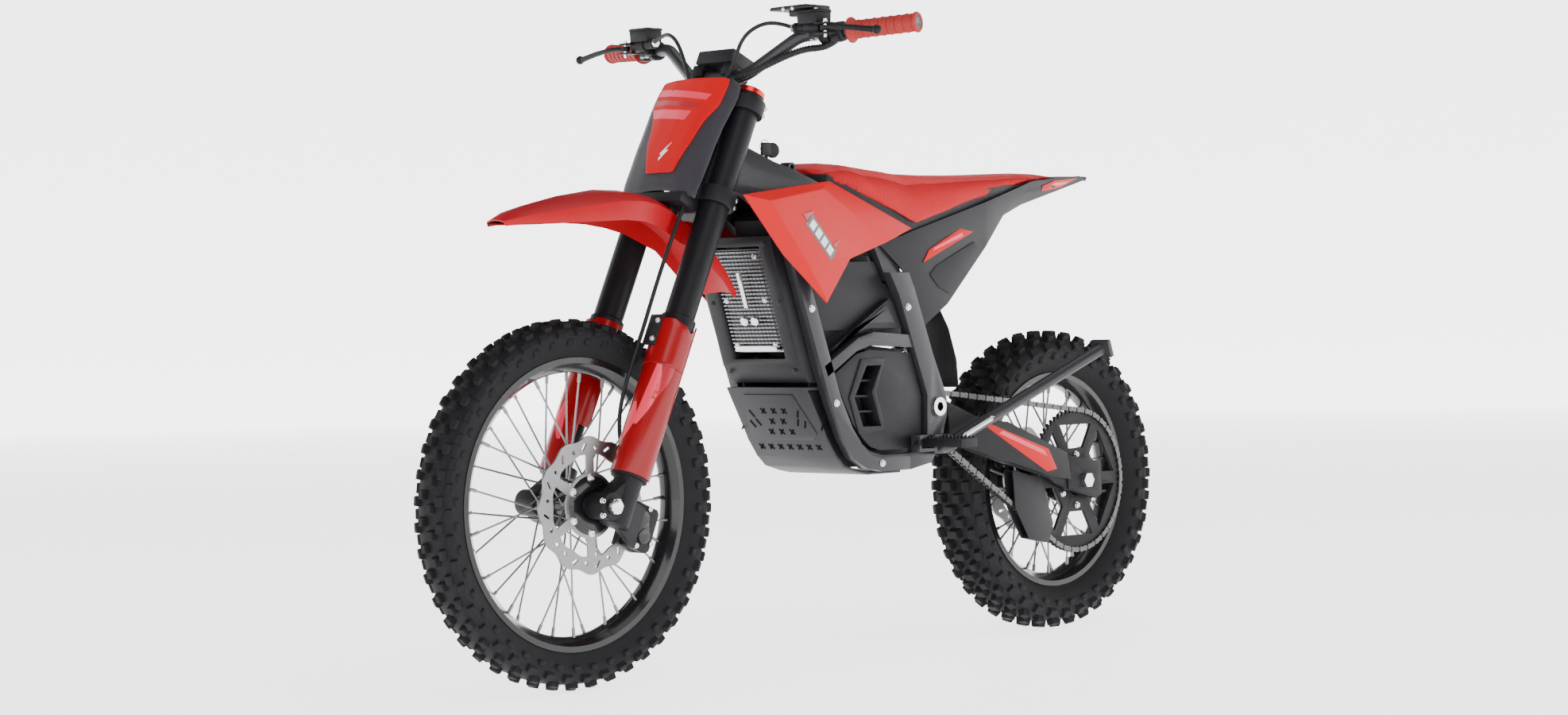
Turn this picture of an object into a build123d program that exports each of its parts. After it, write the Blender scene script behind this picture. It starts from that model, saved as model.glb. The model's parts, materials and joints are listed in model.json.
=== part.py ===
from build123d import *
import os
from math import asin, atan2, cos, degrees, hypot, pi, radians, sin

# Electric off-road motorcycle, millimetres. +X forward, +Y to the rider's left, +Z up.
# The origin is on the ground, half way along the overall length.

# Wheels
WHEELBASE = 1265.6
FRONT_TYRE_R = 315.5
REAR_TYRE_R = 295.3
FRONT_TYRE_W = 82.0
REAR_TYRE_W = 112.0
FRONT_RIM_R = 241.3
REAR_RIM_R = 203.2
FRONT_RIM_HALF = 22.0
REAR_RIM_HALF = 28.0
FRONT_AXLE_X = (WHEELBASE + REAR_TYRE_R - FRONT_TYRE_R) / 2
REAR_AXLE_X = FRONT_AXLE_X - WHEELBASE
AXLE_R = 10.0
SPOKES = 36
RUNNING = 0.05

# Steering and fork, laid out along the steering axis from the front axle
RAKE = radians(24.886)
LEG_N = -34.1
STEM_N = LEG_N - 28.0
LEG_Y = 90.4
LEG_TUBE_R = 26.5
SLIDER_R = 20.0
LOWER_CLAMP_S = (572.0, 602.0)
TOP_CLAMP_S = (752.0, 778.0)
LEG_TOP_S = 790.0
TUBE_END_S = 330.0
HEAD_S = (612.0, 742.0)
STEM_R = 14.9
BAR_S = 827.0
BAR_R = 14.3
GRIP_R = 15.5
LEVER_PIVOT = (42.0, 38.0, 4.0)

# Swingarm, drive and shock
PIVOT_X = -190.0
PIVOT_Z = 455.0
PIVOT_R = 12.0
PIVOT_BORE_R = 8.5
CHAIN_Y = 80.0
CHAIN_PITCH = 12.7
REAR_TEETH = 68
FRONT_TEETH = 15
REAR_SPROCKET_R = CHAIN_PITCH * REAR_TEETH / (2 * pi)
FRONT_SPROCKET_R = CHAIN_PITCH * FRONT_TEETH / (2 * pi)
SHOCK_TOP = (-175.0, 690.0)
SHOCK_EYE = (-290.0, 452.0)
SHOCK_PIN_R = 8.0
OPEN_EYE_GAP = 2.0

# Frame
KEY_X = 128.0
RAIL_Y = (104.0, 124.0)
CRADLE_Y = (101.0, 122.0)
SPAR_HALF = 84.0
SHEET = 3.0

# Stand and foot pegs
STAND_PIVOT = (-186.0, 150.0, 386.0)
STAND_FOOT = (-646.0, 150.0, 553.0)
STAND_TILT = radians(20.4)
STAND_R = 11.5
STAND_PIN_R = 6.0
STAND_SPRING_R = 5.0
STAND_SPRING_OUT = 17.5
PEG_X = -135.0
PEG_Z = 390.0
PEG_HINGE_Y = 139.0

PARTS = {}


def put(node, *shapes):
    """Keep one node: one solid, or a group of separate solids."""
    solids = [solid for shape in shapes for solid in shape.solids()]
    PARTS[node] = solids[0] if len(solids) == 1 else Compound(children=solids)


def span(low, high):
    """Length and middle of a range."""
    return high - low, (low + high) / 2


def rod(start, end, radius, bore=0.0):
    """Round bar, or tube, between two points."""
    a, b = Vector(*start), Vector(*end)
    axis = Plane(origin=a, z_dir=b - a)
    length = (b - a).length
    base = (Align.CENTER, Align.CENTER, Align.MIN)
    solid = axis * Cylinder(radius, length, align=base)
    if bore:
        solid -= axis * Pos(0, 0, -1) * Cylinder(bore, length + 2, align=base)
    return solid


def cross(x, z, y_low, y_high, radius, bore=0.0):
    """Round bar or tube along Y."""
    return rod((x, y_low, z), (x, y_high, z), radius, bore)


def plate(outline, y_low, y_high):
    """Flat plate: an (x, z) outline carried from y_low to y_high."""
    points = [(x, y_low, z) for x, z in outline]
    face = make_face(Polyline(*points, close=True))
    return extrude(face, amount=y_high - y_low, dir=(0, 1, 0))


def brick(x, y, z):
    """Box from three (low, high) ranges."""
    (dx, mx), (dy, my), (dz, mz) = span(*x), span(*y), span(*z)
    return Pos(mx, my, mz) * Box(dx, dy, dz)


def ring_y(x, z, profile):
    """Solid of revolution about a Y axle from a closed (radius, y) profile."""
    points = [(radius, 0, y) for radius, y in profile]
    face = make_face(Polyline(*points, close=True))
    solid = revolve(face, Axis.Z, 360)
    return Pos(x, 0, z) * Rot(-90, 0, 0) * solid


def flip(shape):
    """The same piece on the right-hand side."""
    return mirror(shape, about=Plane.XZ)


def pair(shape):
    return [shape, flip(shape)]


def fork(s, n=LEG_N, y=0.0):
    """Point at height s along the steering direction and n ahead of the front axle."""
    x = FRONT_AXLE_X - s * sin(RAKE) + n * cos(RAKE)
    z = FRONT_TYRE_R + s * cos(RAKE) + n * sin(RAKE)
    return x, y, z


def fork_frame(s, n=LEG_N, y=0.0):
    """Plane square to the steering axis: local x is forward, y is left, z is up the fork."""
    return Plane(
        origin=fork(s, n, y),
        x_dir=(cos(RAKE), 0, sin(RAKE)),
        z_dir=(-sin(RAKE), 0, cos(RAKE)),
    )


def triangles(loop):
    return [(loop[0], loop[i], loop[i + 1]) for i in range(1, len(loop) - 1)]


def closed_solid(faces):
    made = [Face(Wire.make_polygon([Vector(*p) for p in face], close=True)) for face in faces]
    return Solid(Shell(made))


def facet_panel(points, loops, offset):
    """Thin faceted panel: an outer skin of point loops, and the same skin moved by offset."""
    inner = {k: tuple(a + b for a, b in zip(p, offset)) for k, p in points.items()}
    tris = [t for loop in loops for t in triangles(loop)]
    edges = [(t[i], t[(i + 1) % 3]) for t in tris for i in range(3)]
    rim = [e for e in edges if (e[1], e[0]) not in edges]
    faces = [[points[k] for k in t] for t in tris]
    faces += [[inner[k] for k in reversed(t)] for t in tris]
    for a, b in rim:
        faces.append([points[b], points[a], inner[a]])
        faces.append([points[b], inner[a], inner[b]])
    return closed_solid(faces)


def grid_panel(rows, offsets):
    """Thin curved panel: rows of outer points, each row with its own inward offset."""
    points, inner, loops = {}, {}, []
    for i, (row, offset) in enumerate(zip(rows, offsets)):
        for j, p in enumerate(row):
            points[i, j] = p
            inner[i, j] = tuple(a + b for a, b in zip(p, offset))
    for i in range(len(rows) - 1):
        for j in range(len(rows[0]) - 1):
            loops.append([(i, j), (i, j + 1), (i + 1, j + 1), (i + 1, j)])
    tris = [t for loop in loops for t in triangles(loop)]
    edges = [(t[i], t[(i + 1) % 3]) for t in tris for i in range(3)]
    faces = [[points[k] for k in t] for t in tris]
    faces += [[inner[k] for k in reversed(t)] for t in tris]
    for a, b in edges:
        if (b, a) not in edges:
            faces.append([points[b], points[a], inner[a]])
            faces.append([points[b], inner[a], inner[b]])
    return closed_solid(faces)


def ruled(sections):
    """Solid through closed sections with the same number of corners."""
    wires = [Wire.make_polygon([Vector(*p) for p in s], close=True) for s in sections]
    return Solid.make_loft(wires, ruled=True)


def hose(points, radius):
    """Bent line of straight runs and tangent arcs, each arc as large as its runs allow."""
    vectors = [Vector(*p) for p in points]
    radii = []
    for a, b, c in zip(vectors, vectors[1:], vectors[2:]):
        turn = radians((b - a).get_angle(c - b))
        radii.append(0.45 * min((b - a).length, (c - b).length) / (sin(turn / 2) / cos(turn / 2)))
    path = FilletPolyline(*vectors, radius=radii)
    start = Plane(origin=vectors[0], z_dir=vectors[1] - vectors[0])
    print("hose radii", [round(r) for r in radii], "length", round(path.length))
    return sweep(start * Circle(radius), path=path)


# ---------------------------------------------------------------- wheels


def tyre(x, z, outer, rim, width, bead_half):
    """Tyre envelope at the height of its knobs."""
    half = width / 2
    crown = outer - 0.045 * outer
    shape = [
        (rim + 0.2, -bead_half),
        (rim + 9, -bead_half),
        (rim + 14, -bead_half - 4),
        (rim + 30, -half * 0.82),
        (crown - 14, -half),
        (crown + 2, -half * 0.97),
        (outer - 3, -half * 0.52),
        (outer, -half * 0.2),
    ]
    return ring_y(x, z, shape + [(r, -y) for r, y in reversed(shape)])


def rim(x, z, seat, half):
    """Drop-centre rim with two flanges."""
    lip, wall = 8.0, 3.5
    outside = [(seat + lip, -half - 2), (seat + lip, -half), (seat, -half), (seat, -half * 0.62)]
    outside += [(seat - 11, -half * 0.42)]
    shape = outside + [(r, -y) for r, y in reversed(outside)]
    inside = [(seat - wall, half + 2), (seat - 11 - wall - 2, half * 0.5)]
    return ring_y(x, z, shape + inside + [(r, -y) for r, y in reversed(inside)])


def spokes(x, z, hub_r, rim_r, hub_y, rim_y, radius):
    """Tangent-laced spokes, half from each hub flange."""
    made = []
    lean = radians(52)
    for i in range(SPOKES):
        side = 1 if i % 2 else -1
        step = (i // 2) % 2
        turn = lean if step else -lean
        at_rim = 2 * pi * i / SPOKES
        at_hub = at_rim + turn
        y_hub = side * (hub_y + (3.2 if step else -3.2))
        y_rim = side * (rim_y + (2.6 if step else -2.6))
        a = (x + hub_r * cos(at_hub), y_hub, z + hub_r * sin(at_hub))
        b = (x + rim_r * cos(at_rim), y_rim, z + rim_r * sin(at_rim))
        made.append(rod(a, b, radius))
    return made


def brake_disc(x, z, y, outer, inner, lobes, thick):
    """Wave-edged brake disc with drilled holes and six cut windows."""
    disc = cross(x, z, y - thick / 2, y + thick / 2, outer, inner)
    for i in range(lobes):
        a = 2 * pi * i / lobes
        px, pz = x + (outer + 7) * cos(a), z + (outer + 7) * sin(a)
        disc -= cross(px, pz, y - thick, y + thick, 14)
    for i in range(2 * lobes):
        a = 2 * pi * (i + 0.5) / (2 * lobes)
        r = outer - (14 if i % 2 else 24)
        disc -= cross(x + r * cos(a), z + r * sin(a), y - thick, y + thick, 3.6)
    for i in range(6):
        a = 2 * pi * (i + 0.5) / 6
        r = (inner + outer) / 2 - 8
        disc -= cross(x + r * cos(a), z + r * sin(a), y - thick, y + thick, 13)
    return disc


FX, FZ = FRONT_AXLE_X, FRONT_TYRE_R
RX, RZ = REAR_AXLE_X, REAR_TYRE_R

put("front_tyre", tyre(FX, FZ, FRONT_TYRE_R, FRONT_RIM_R, FRONT_TYRE_W, FRONT_RIM_HALF - 0.5))
put("front_rim", rim(FX, FZ, FRONT_RIM_R, FRONT_RIM_HALF))
put("front_spokes", *spokes(FX, FZ, 33, FRONT_RIM_R - 12, 30, 5, 1.7))
front_hub = ring_y(
    FX, FZ,
    [(AXLE_R + RUNNING, -40), (20, -40), (20, -36), (38, -36), (38, -24), (24, -20), (24, 20),
     (38, 24), (38, 36), (30, 40), (30, 50), (52, 50), (52, 53.8), (24, 53.8), (24, 58),
     (AXLE_R + RUNNING, 58)],
)
put("front_hub", front_hub)
put("front_disc", brake_disc(FX, FZ, 56, 117, 40, 12, 4))

put("rear_tyre", tyre(RX, RZ, REAR_TYRE_R, REAR_RIM_R, REAR_TYRE_W, REAR_RIM_HALF - 0.5))
put("rear_rim", rim(RX, RZ, REAR_RIM_R, REAR_RIM_HALF))
put("rear_spokes", *spokes(RX, RZ, 37, REAR_RIM_R - 12, 30, 6, 2.0))
rear_hub = ring_y(
    RX, RZ,
    [(AXLE_R + RUNNING, -62), (24, -62), (24, -57.8), (46, -57.8), (46, -54), (30, -50),
     (30, -38), (43, -36), (43, -24), (28, -20), (28, 20), (43, 24), (43, 36), (32, 40),
     (32, 68), (60, 70), (60, 76.8), (28, 76.8), (28, 84), (AXLE_R + RUNNING, 84)],
)
put("rear_hub", rear_hub)
put("rear_disc", brake_disc(RX, RZ, -60, 105, 34, 10, 4))


def sprocket(x, z, pitch_r, teeth, bore, half):
    """Toothed disc on the chain line."""
    root = pitch_r - 4.2
    tip = pitch_r + 3.2
    points = []
    for i in range(teeth):
        for share, radius in ((-0.30, root), (-0.12, tip), (0.12, tip), (0.30, root)):
            a = 2 * pi * (i + share) / teeth
            points.append((x + radius * cos(a), z + radius * sin(a)))
    disc = plate(points, CHAIN_Y - half, CHAIN_Y + half)
    return disc - cross(x, z, CHAIN_Y - 2 * half, CHAIN_Y + 2 * half, bore)


rear_sprocket = sprocket(RX, RZ, REAR_SPROCKET_R, REAR_TEETH, 30, 3)
for i in range(6):
    window = []
    for radius, spread in ((66, 0.34), (119, 0.42)):
        for sign in (-1, 1) if radius == 66 else (1, -1):
            angle = 2 * pi * (i + 0.5) / 6 + sign * spread
            window.append((RX + radius * cos(angle), RZ + radius * sin(angle)))
    rear_sprocket -= plate(window, CHAIN_Y - 5, CHAIN_Y + 5)
put("rear_sprocket", rear_sprocket)

front_sprocket = sprocket(PIVOT_X, PIVOT_Z, FRONT_SPROCKET_R, FRONT_TEETH, PIVOT_R + RUNNING, 3)
front_sprocket += cross(PIVOT_X, PIVOT_Z, 64, 87, 19, PIVOT_R + RUNNING)
put("front_sprocket", front_sprocket)

# ---------------------------------------------------------------- fork legs and axle

slider = rod(fork(40, LEG_N, LEG_Y), fork(560, LEG_N, LEG_Y), SLIDER_R)
foot = rod(fork(-22, LEG_N, LEG_Y), fork(78, LEG_N, LEG_Y), 25)
foot += rod(fork(62, LEG_N, LEG_Y), fork(80, LEG_N, LEG_Y), 31.8)
foot += cross(FX, FZ, 66, 112, 23)
web = [(fork(s, n)[0], fork(s, n)[2]) for s, n in ((-22, -34), (-20, 4), (20, 6), (60, -22))]
foot += plate(web, 72, 108)
caliper_lug = [(fork(s, n)[0], fork(s, n)[2]) for s, n in ((-40, -92), (-18, -34), (40, -34), (30, -92))]
left_foot = foot + plate(caliper_lug, 77, 90)
axle_hole = cross(FX, FZ, -130, 130, AXLE_R + RUNNING)
put("fork_sliders", slider + left_foot - axle_hole, flip(slider + foot) - axle_hole)

guard = fork_frame(66, LEG_N, LEG_Y) * (
    Cylinder(35, 284, align=(Align.CENTER, Align.CENTER, Align.MIN))
    - Cylinder(32, 284, align=(Align.CENTER, Align.CENTER, Align.MIN))
)
guard -= fork_frame(60, LEG_N, LEG_Y) * Pos(-27, -8, 150) * Box(40, 60, 320)
guard -= fork_frame(100, LEG_N, LEG_Y) * Pos(0, -36, 0) * Box(80, 14, 110)
guard -= fork_frame(350, LEG_N, LEG_Y) * Pos(20, 22, 0) * Rot(0, 40, 0) * Box(60, 60, 60)
put("fork_guards", *pair(guard))

axle = cross(FX, FZ, -118, 114, AXLE_R)
axle += cross(FX, FZ, 58.3, 65.8, 16) + cross(FX, FZ, -65.8, -40.3, 16)
axle += Pos(FX, 119, FZ) * Rot(90, 0, 0) * extrude(RegularPolygon(14, 6), amount=5, both=True)
put("front_axle", axle)


def caliper(x, z, y, facing, angle, reach, size):
    """Two-piece brake caliper straddling a disc, at an angle round the axle."""
    body = Pos(reach, 0, 0) * Box(*size)
    body -= Pos(reach - 9, 0, 0) * Box(size[0], 7, size[2] + 2)
    body += Pos(reach - 4, facing * (size[1] / 2 + 4), 12) * Rot(90, 0, 0) * Cylinder(13, 8)
    body += Pos(reach - 4, facing * (size[1] / 2 + 4), -16) * Rot(90, 0, 0) * Cylinder(13, 8)
    body = chamfer(body.edges().filter_by(Axis.Y).group_by(Axis.X)[-1], 6)
    return Pos(x, y, z) * Rot(0, -degrees(angle), 0) * body


FRONT_CALIPER_ANGLE = radians(203)
put("front_caliper", caliper(FX, FZ, 56, -1, FRONT_CALIPER_ANGLE, 112, (52, 40, 78)))

# ---------------------------------------------------------------- steering

lower_clamp = fork_frame(LOWER_CLAMP_S[0]) * Pos(0, 0, 15) * (
    Pos(-30, 0, 0) * Box(44, 150, 30)
    + Pos(0, LEG_Y, 0) * Cylinder(34, 30)
    + Pos(0, -LEG_Y, 0) * Cylinder(34, 30)
    + Pos(-28, 0, 0) * Cylinder(34, 30)
)
for side in (1, -1):
    lower_clamp -= rod(fork(500, LEG_N, side * LEG_Y), fork(700, LEG_N, side * LEG_Y), LEG_TUBE_R + RUNNING)
lower_clamp += rod(fork(590, STEM_N), fork(790, STEM_N), STEM_R)
lower_clamp += rod(fork(602, STEM_N), fork(606, STEM_N), 22)
put("lower_clamp", lower_clamp)

top_clamp = fork_frame(TOP_CLAMP_S[0]) * Pos(0, 0, 13) * (
    Pos(-20, 0, 0) * Box(50, 150, 26)
    + Pos(0, LEG_Y, 0) * Cylinder(34, 26)
    + Pos(0, -LEG_Y, 0) * Cylinder(34, 26)
    + Pos(-28, 0, 0) * Cylinder(32, 26)
)
for side in (1, -1):
    top_clamp -= rod(fork(700, LEG_N, side * LEG_Y), fork(800, LEG_N, side * LEG_Y), LEG_TUBE_R + RUNNING)
for y in (-38, 38):
    riser = fork_frame(TOP_CLAMP_S[1], LEG_N, y) * Pos(0, 0, 26) * Box(36, 26, 56)
    riser += fork_frame(TOP_CLAMP_S[1], LEG_N, y) * Pos(0, 0, 57) * Box(44, 26, 22)
    top_clamp += riser
top_clamp -= rod(fork(740, STEM_N), fork(795, STEM_N), STEM_R + 0.1)
bar_centre = fork(BAR_S)
top_clamp -= cross(bar_centre[0], bar_centre[2], -60, 60, BAR_R + RUNNING)
top_clamp += rod(fork(777, STEM_N), fork(790, STEM_N), 17, STEM_R + 0.1)
put("top_clamp", top_clamp)

tube = rod(fork(TUBE_END_S, LEG_N, LEG_Y), fork(LEG_TOP_S, LEG_N, LEG_Y), LEG_TUBE_R)
tube += rod(fork(TUBE_END_S - 6, LEG_N, LEG_Y), fork(TUBE_END_S + 28, LEG_N, LEG_Y), 30.5)
tube -= rod(fork(TUBE_END_S - 10, LEG_N, LEG_Y), fork(LEG_TOP_S - 12, LEG_N, LEG_Y), SLIDER_R + RUNNING)
tube += rod(fork(LEG_TOP_S, LEG_N, LEG_Y), fork(LEG_TOP_S + 8, LEG_N, LEG_Y), 20)
put("fork_tubes", *pair(tube))

BAR_POINTS = [
    (bar_centre[0], 0, bar_centre[2]),
    (bar_centre[0], 64, bar_centre[2]),
    (206, 165, 1117),
    (144, 384, 1128),
]
left_half = [Vector(*p) for p in BAR_POINTS]
right_half = [Vector(p.X, -p.Y, p.Z) for p in reversed(left_half[1:])]
bar_line = FilletPolyline(*(right_half + left_half[1:]), radius=60)
bar_start = Plane(origin=right_half[0], z_dir=right_half[1] - right_half[0])
BAR_END_R = 11.1
handlebar = sweep(bar_start * Circle(BAR_END_R), path=bar_line)
handlebar += cross(bar_centre[0], bar_centre[2], -52, 52, BAR_R)
put("handlebar", handlebar)


def along_bar(distance, y_side=1):
    """Point on the outer bar at a distance in from its end, and the outward direction."""
    end, inner = left_half[3], left_half[2]
    out = (end - inner).normalized()
    p = end - out * distance
    return Vector(p.X, y_side * p.Y, p.Z), Vector(out.X, y_side * out.Y, out.Z)


def grip(side):
    """Rubber sleeve with an inner flange."""
    end, out = along_bar(-4, side)
    root, _ = along_bar(122, side)
    solid = rod(root, end, GRIP_R)
    flange, _ = along_bar(128, side)
    solid += rod(flange, root, 22)
    inner, _ = along_bar(140, side)
    bar_stop, _ = along_bar(-0.2, side)
    return solid - rod(inner, bar_stop, BAR_END_R + RUNNING)


put("left_grip", grip(1))
put("throttle_grip", grip(-1))


def master(side):
    """Brake master cylinder with reservoir, and its clamp round the bar."""
    centre, out = along_bar(176, side)
    a, _ = along_bar(164, side)
    b, _ = along_bar(188, side)
    solid = rod(b, a, 18)
    ahead = Vector(34, 0, 6)
    solid += Pos(*(centre + Vector(24, 0, 8))) * Box(34, 26, 24)
    barrel_a = centre + ahead + Vector(0, side * 22, 0)
    barrel_b = centre + ahead + Vector(6, -side * 34, 4)
    solid += rod(barrel_b, barrel_a, 11)
    solid += Pos(*(centre + Vector(28, -side * 2, 27))) * Box(38, 48, 26)
    solid += Pos(*(centre + Vector(28, -side * 2, 41))) * Box(42, 52, 3)
    pivot = centre + Vector(LEVER_PIVOT[0], side * LEVER_PIVOT[1], LEVER_PIVOT[2])
    for lift in (-6.4, 6.4):
        solid += Pos(*(pivot + Vector(-6, -side * 8, lift))) * Box(30, 34, 3)
    solid += Pos(*pivot) * Cylinder(3, 12)
    bore_a, _ = along_bar(130, side)
    bore_b, _ = along_bar(210, side)
    return solid - rod(bore_b, bore_a, BAR_END_R + RUNNING)


display = Pos(216, 176, 1164) * Box(64, 92, 7)
put("master_cylinders", master(1) + display, master(-1))


def lever(side):
    """Brake lever on its own pivot, just outboard of the master cylinder."""
    centre, _ = along_bar(176, side)
    pivot = centre + Vector(LEVER_PIVOT[0], side * LEVER_PIVOT[1], LEVER_PIVOT[2])
    knee = centre + Vector(50, side * 60, 4)
    tip = centre + Vector(44, side * 160, -8)
    solid = Pos(*pivot) * Cylinder(8, 9)
    solid += rod(pivot, knee, 4.5) + rod(knee, tip, 4.5)
    solid += Pos(*knee) * Sphere(4.5) + Pos(*tip) * Sphere(8)
    return solid - Pos(*pivot) * Cylinder(3 + RUNNING, 12)


put("left_brake_lever", lever(1))
put("right_brake_lever", lever(-1))

dash = fork_frame(BAR_S + 32.2, LEG_N - 2) * (Box(58, 88, 26) + Pos(0, 0, 14) * Box(42, 66, 8))
put("dash", dash)

plate_rows = [
    (802, 9, ((-104, -7), (-84, -2), (-44, 1), (0, 3), (44, 1), (84, -2), (104, -7))),
    (740, 16, ((-113, -9), (-90, -5), (-50, 5), (0, 7), (50, 5), (90, -5), (113, -9))),
    (660, 22, ((-106, -14), (-88, -8), (-50, 5), (0, 7), (50, 5), (88, -8), (106, -14))),
    (607, 22, ((-108, -14), (-92, -10), (-44, 5), (0, 7), (44, 5), (92, -10), (108, -14))),
    (578, 20, ((-106, -12), (-92, -9), (-46, 1), (0, 3), (46, 1), (92, -9), (106, -12))),
]
rows = [[fork(s, base + lift, y) for y, lift in columns] for s, base, columns in plate_rows]
inward = (-SHEET * cos(RAKE), 0, -SHEET * sin(RAKE))
put("number_plate", grid_panel(rows, [inward] * len(rows)))

fender_rows = [
    (775, 797, 22, 4, 6), (740, 812, 46, 10, 12), (690, 826, 62, 16, 18), (636, 838, 72, 20, 24),
    (554, 850, 80, 22, 30), (500, 850, 76, 22, 32), (452, 844, 66, 22, 34), (405, 829, 54, 20, 36),
    (366, 803, 47, 16, 34), (332, 780, 49, 14, 28), (303, 747, 52, 12, 22), (275, 712, 52, 10, 16),
    (248, 674, 48, 8, 10),
]
rows, offsets = [], []
for i, (x, z, half, drop, lip) in enumerate(fender_rows):
    before, after = fender_rows[max(i - 1, 0)], fender_rows[min(i + 1, len(fender_rows) - 1)]
    tilt = atan2(before[1] - after[1], before[0] - after[0])
    down = (sin(tilt), -cos(tilt))
    row = []
    for share, depth in ((-1, drop + lip), (-0.97, drop), (-0.55, drop * 0.3), (0, 0)):
        row.append((x + down[0] * depth, share * half, z + down[1] * depth))
    row += [(px, -py, pz) for px, py, pz in reversed(row[:-1])]
    rows.append(row)
    offsets.append((SHEET * down[0], 0, SHEET * down[1]))
put("front_fender", grid_panel(rows, offsets))

FRONT_HOSE = [
    (234, -175, 1130), (242, -146, 1140), (254, -112, 1139), (266, -78, 1118),
    fork(832, -3, -54), fork(800, -2, -32), fork(766, -3, -4), fork(722, -2, 20), fork(674, 0, 38),
    fork(622, 4, 52), fork(566, 8, 62), fork(508, 14, 66), fork(446, 17, 66), fork(384, 15, 64),
    fork(322, 11, 61), fork(262, 8, 57), fork(204, 2, 51), fork(158, -12, 46), fork(118, -38, 44),
    fork(84, -64, 46), fork(62, -84, 50),
]
REAR_HOSE = [
    (234, 175, 1130), (240, 146, 1141), (252, 112, 1140), (265, 80, 1118),
    fork(834, -5, 60), fork(802, -5, 46), fork(766, -9, 32), fork(724, -14, 22), fork(680, -16, 15),
    fork(636, -20, 12),
]
LOOM = [
    (203, 181, 1096), (222, 148, 1084), (246, 110, 1064), (270, 76, 1048),
    fork(800, -8, 28), fork(764, -14, 4), fork(722, -14, -8), fork(678, -15, -14), fork(636, -20, -12),
]
put("front_brake_hose", hose(FRONT_HOSE, 3.0))
put("bar_cables", hose(REAR_HOSE, 3.0), hose(LOOM, 4.5))

# ---------------------------------------------------------------- frame

head = rod(fork(HEAD_S[0], STEM_N), fork(HEAD_S[1], STEM_N), 31)
spar_sections = [
    (286, 22, 44, 858, 934), (232, 34, 54, 840, 921), (188, 48, 70, 808, 905),
    (140, 60, SPAR_HALF, 780, 888), (60, 62, SPAR_HALF, 756, 860), (-20, 62, SPAR_HALF, 742, 826),
    (-110, 62, SPAR_HALF, 730, 788),
]
sections = [
    [(x, y0, z0), (x, y1, z0), (x, y1, z1), (x, y0, z1)] for x, y0, y1, z0, z1 in spar_sections
]
spar = ruled(sections)
gusset = brick((196, 262), (-36, 36), (846, 906))
head = head + spar + flip(spar) + gusset
head -= rod(fork(HEAD_S[0] - 20, STEM_N), fork(HEAD_S[1] + 20, STEM_N), 23.55)

cradle_outer = [(196, 742), (156, 631), (127, 546), (98, 470), (65, 402), (40, 368), (6, 349), (-35, 342), (-112, 342)]
cradle_inner = [(-112, 372), (-36, 372), (-2, 380), (18, 394), (42, 424), (72, 482), (100, 556), (126, 633), (166, 742)]
cradle = plate(cradle_outer + cradle_inner, *CRADLE_Y)
rail_front = [(-63, 704), (-87, 664), (-128, 562), (-160, 478), (-158, 392), (-130, 374)]
rail_back = [(-186, 374), (-200, 400), (-214, 440), (-214, 470), (-202, 500), (-178, 552), (-131, 671), (-115, 704)]
rear_rail = plate(rail_front + rail_back, *RAIL_Y)
rear_rail += plate([(-36, 760), (-74, 688), (-118, 688), (-92, 760)], SPAR_HALF + 0.2, RAIL_Y[0] + 2)
rear_rail -= cross(PIVOT_X, PIVOT_Z, 90, 140, PIVOT_R + RUNNING)
brace = plate([(112, 537), (22, 586), (-20, 596), (-134, 588), (-127, 566), (-10, 572), (28, 562), (104, 518)], *CRADLE_Y)
rail_foot = plate([(-112.2, 342), (-112.2, 372), (-129.8, 374), (-186, 373.8), (-170, 352)], *CRADLE_Y)
hanger = brick((-160, -112), (124, 132), (374, 404)) + brick((-160, -112), (132, 146), (374, 380))
hanger += brick((-160, -154), (132, 146), (374, 404)) + brick((-118, -112), (132, 146), (374, 404))
hanger -= rod((-170, PEG_HINGE_Y, PEG_Z), (-100, PEG_HINGE_Y, PEG_Z), 4 + RUNNING)
stand_pivot = Vector(*STAND_PIVOT)
stand_axis = Vector(0, cos(STAND_TILT), sin(STAND_TILT))
stand_lug = brick((-206, -166), (124.2, 134), (368, 404))
stand_lug += rod(stand_pivot - stand_axis * 24, stand_pivot + stand_axis * 18, STAND_PIN_R)
stand_lug += rod(stand_pivot + stand_axis * 15.5, stand_pivot + stand_axis * 18, 9)
shock_bar = cross(-118, 692, -103.8, 103.8, 14)
for y in (-22, 22):
    eye = plate([(-104, 680), (-104, 704), (-168, 704), (-188, 696), (-188, 682), (-168, 676)], y - 3, y + 3)
    shock_bar += eye
shock_bar += cross(SHOCK_TOP[0], SHOCK_TOP[1], -25, 25, SHOCK_PIN_R)
subframe_tube = rod((-96, 73, 786), (-500, 50, 846), 9)
subframe = subframe_tube + flip(subframe_tube) + cross(-488, 844, -52, 52, 9)
subframe += rod((-112, 80, 752), (-96, 73, 792), 9) + rod((-112, -80, 752), (-96, -73, 792), 9)
frame_solids = [head, shock_bar, subframe - head]
for solid in (cradle, rear_rail, brace, rail_foot, hanger, stand_lug):
    frame_solids += pair(solid) if solid is not stand_lug else [solid]
put("frame", *frame_solids)

bearing_rings = []
for low in (HEAD_S[0], HEAD_S[1] - 16):
    bearing_rings.append(rod(fork(low, STEM_N), fork(low + 16, STEM_N), 23.5, STEM_R + RUNNING))
put("head_bearings", *bearing_rings)

battery = plate([(-98, 600), (96, 600), (148, 724), (-48, 724), (-70, 684), (-98, 684)], -99, 99)
battery += plate([(-90, 723), (150, 723), (168, 800), (120, 862), (-60, 792)], -46, 46)
lid = plate([(230, 922), (228, 929), (78, 876), (80, 869.5)], -50, 50)
lid -= rod((KEY_X, 0, 860), (KEY_X, 0, 930), 13 + RUNNING)
put("battery", battery, lid)

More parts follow.
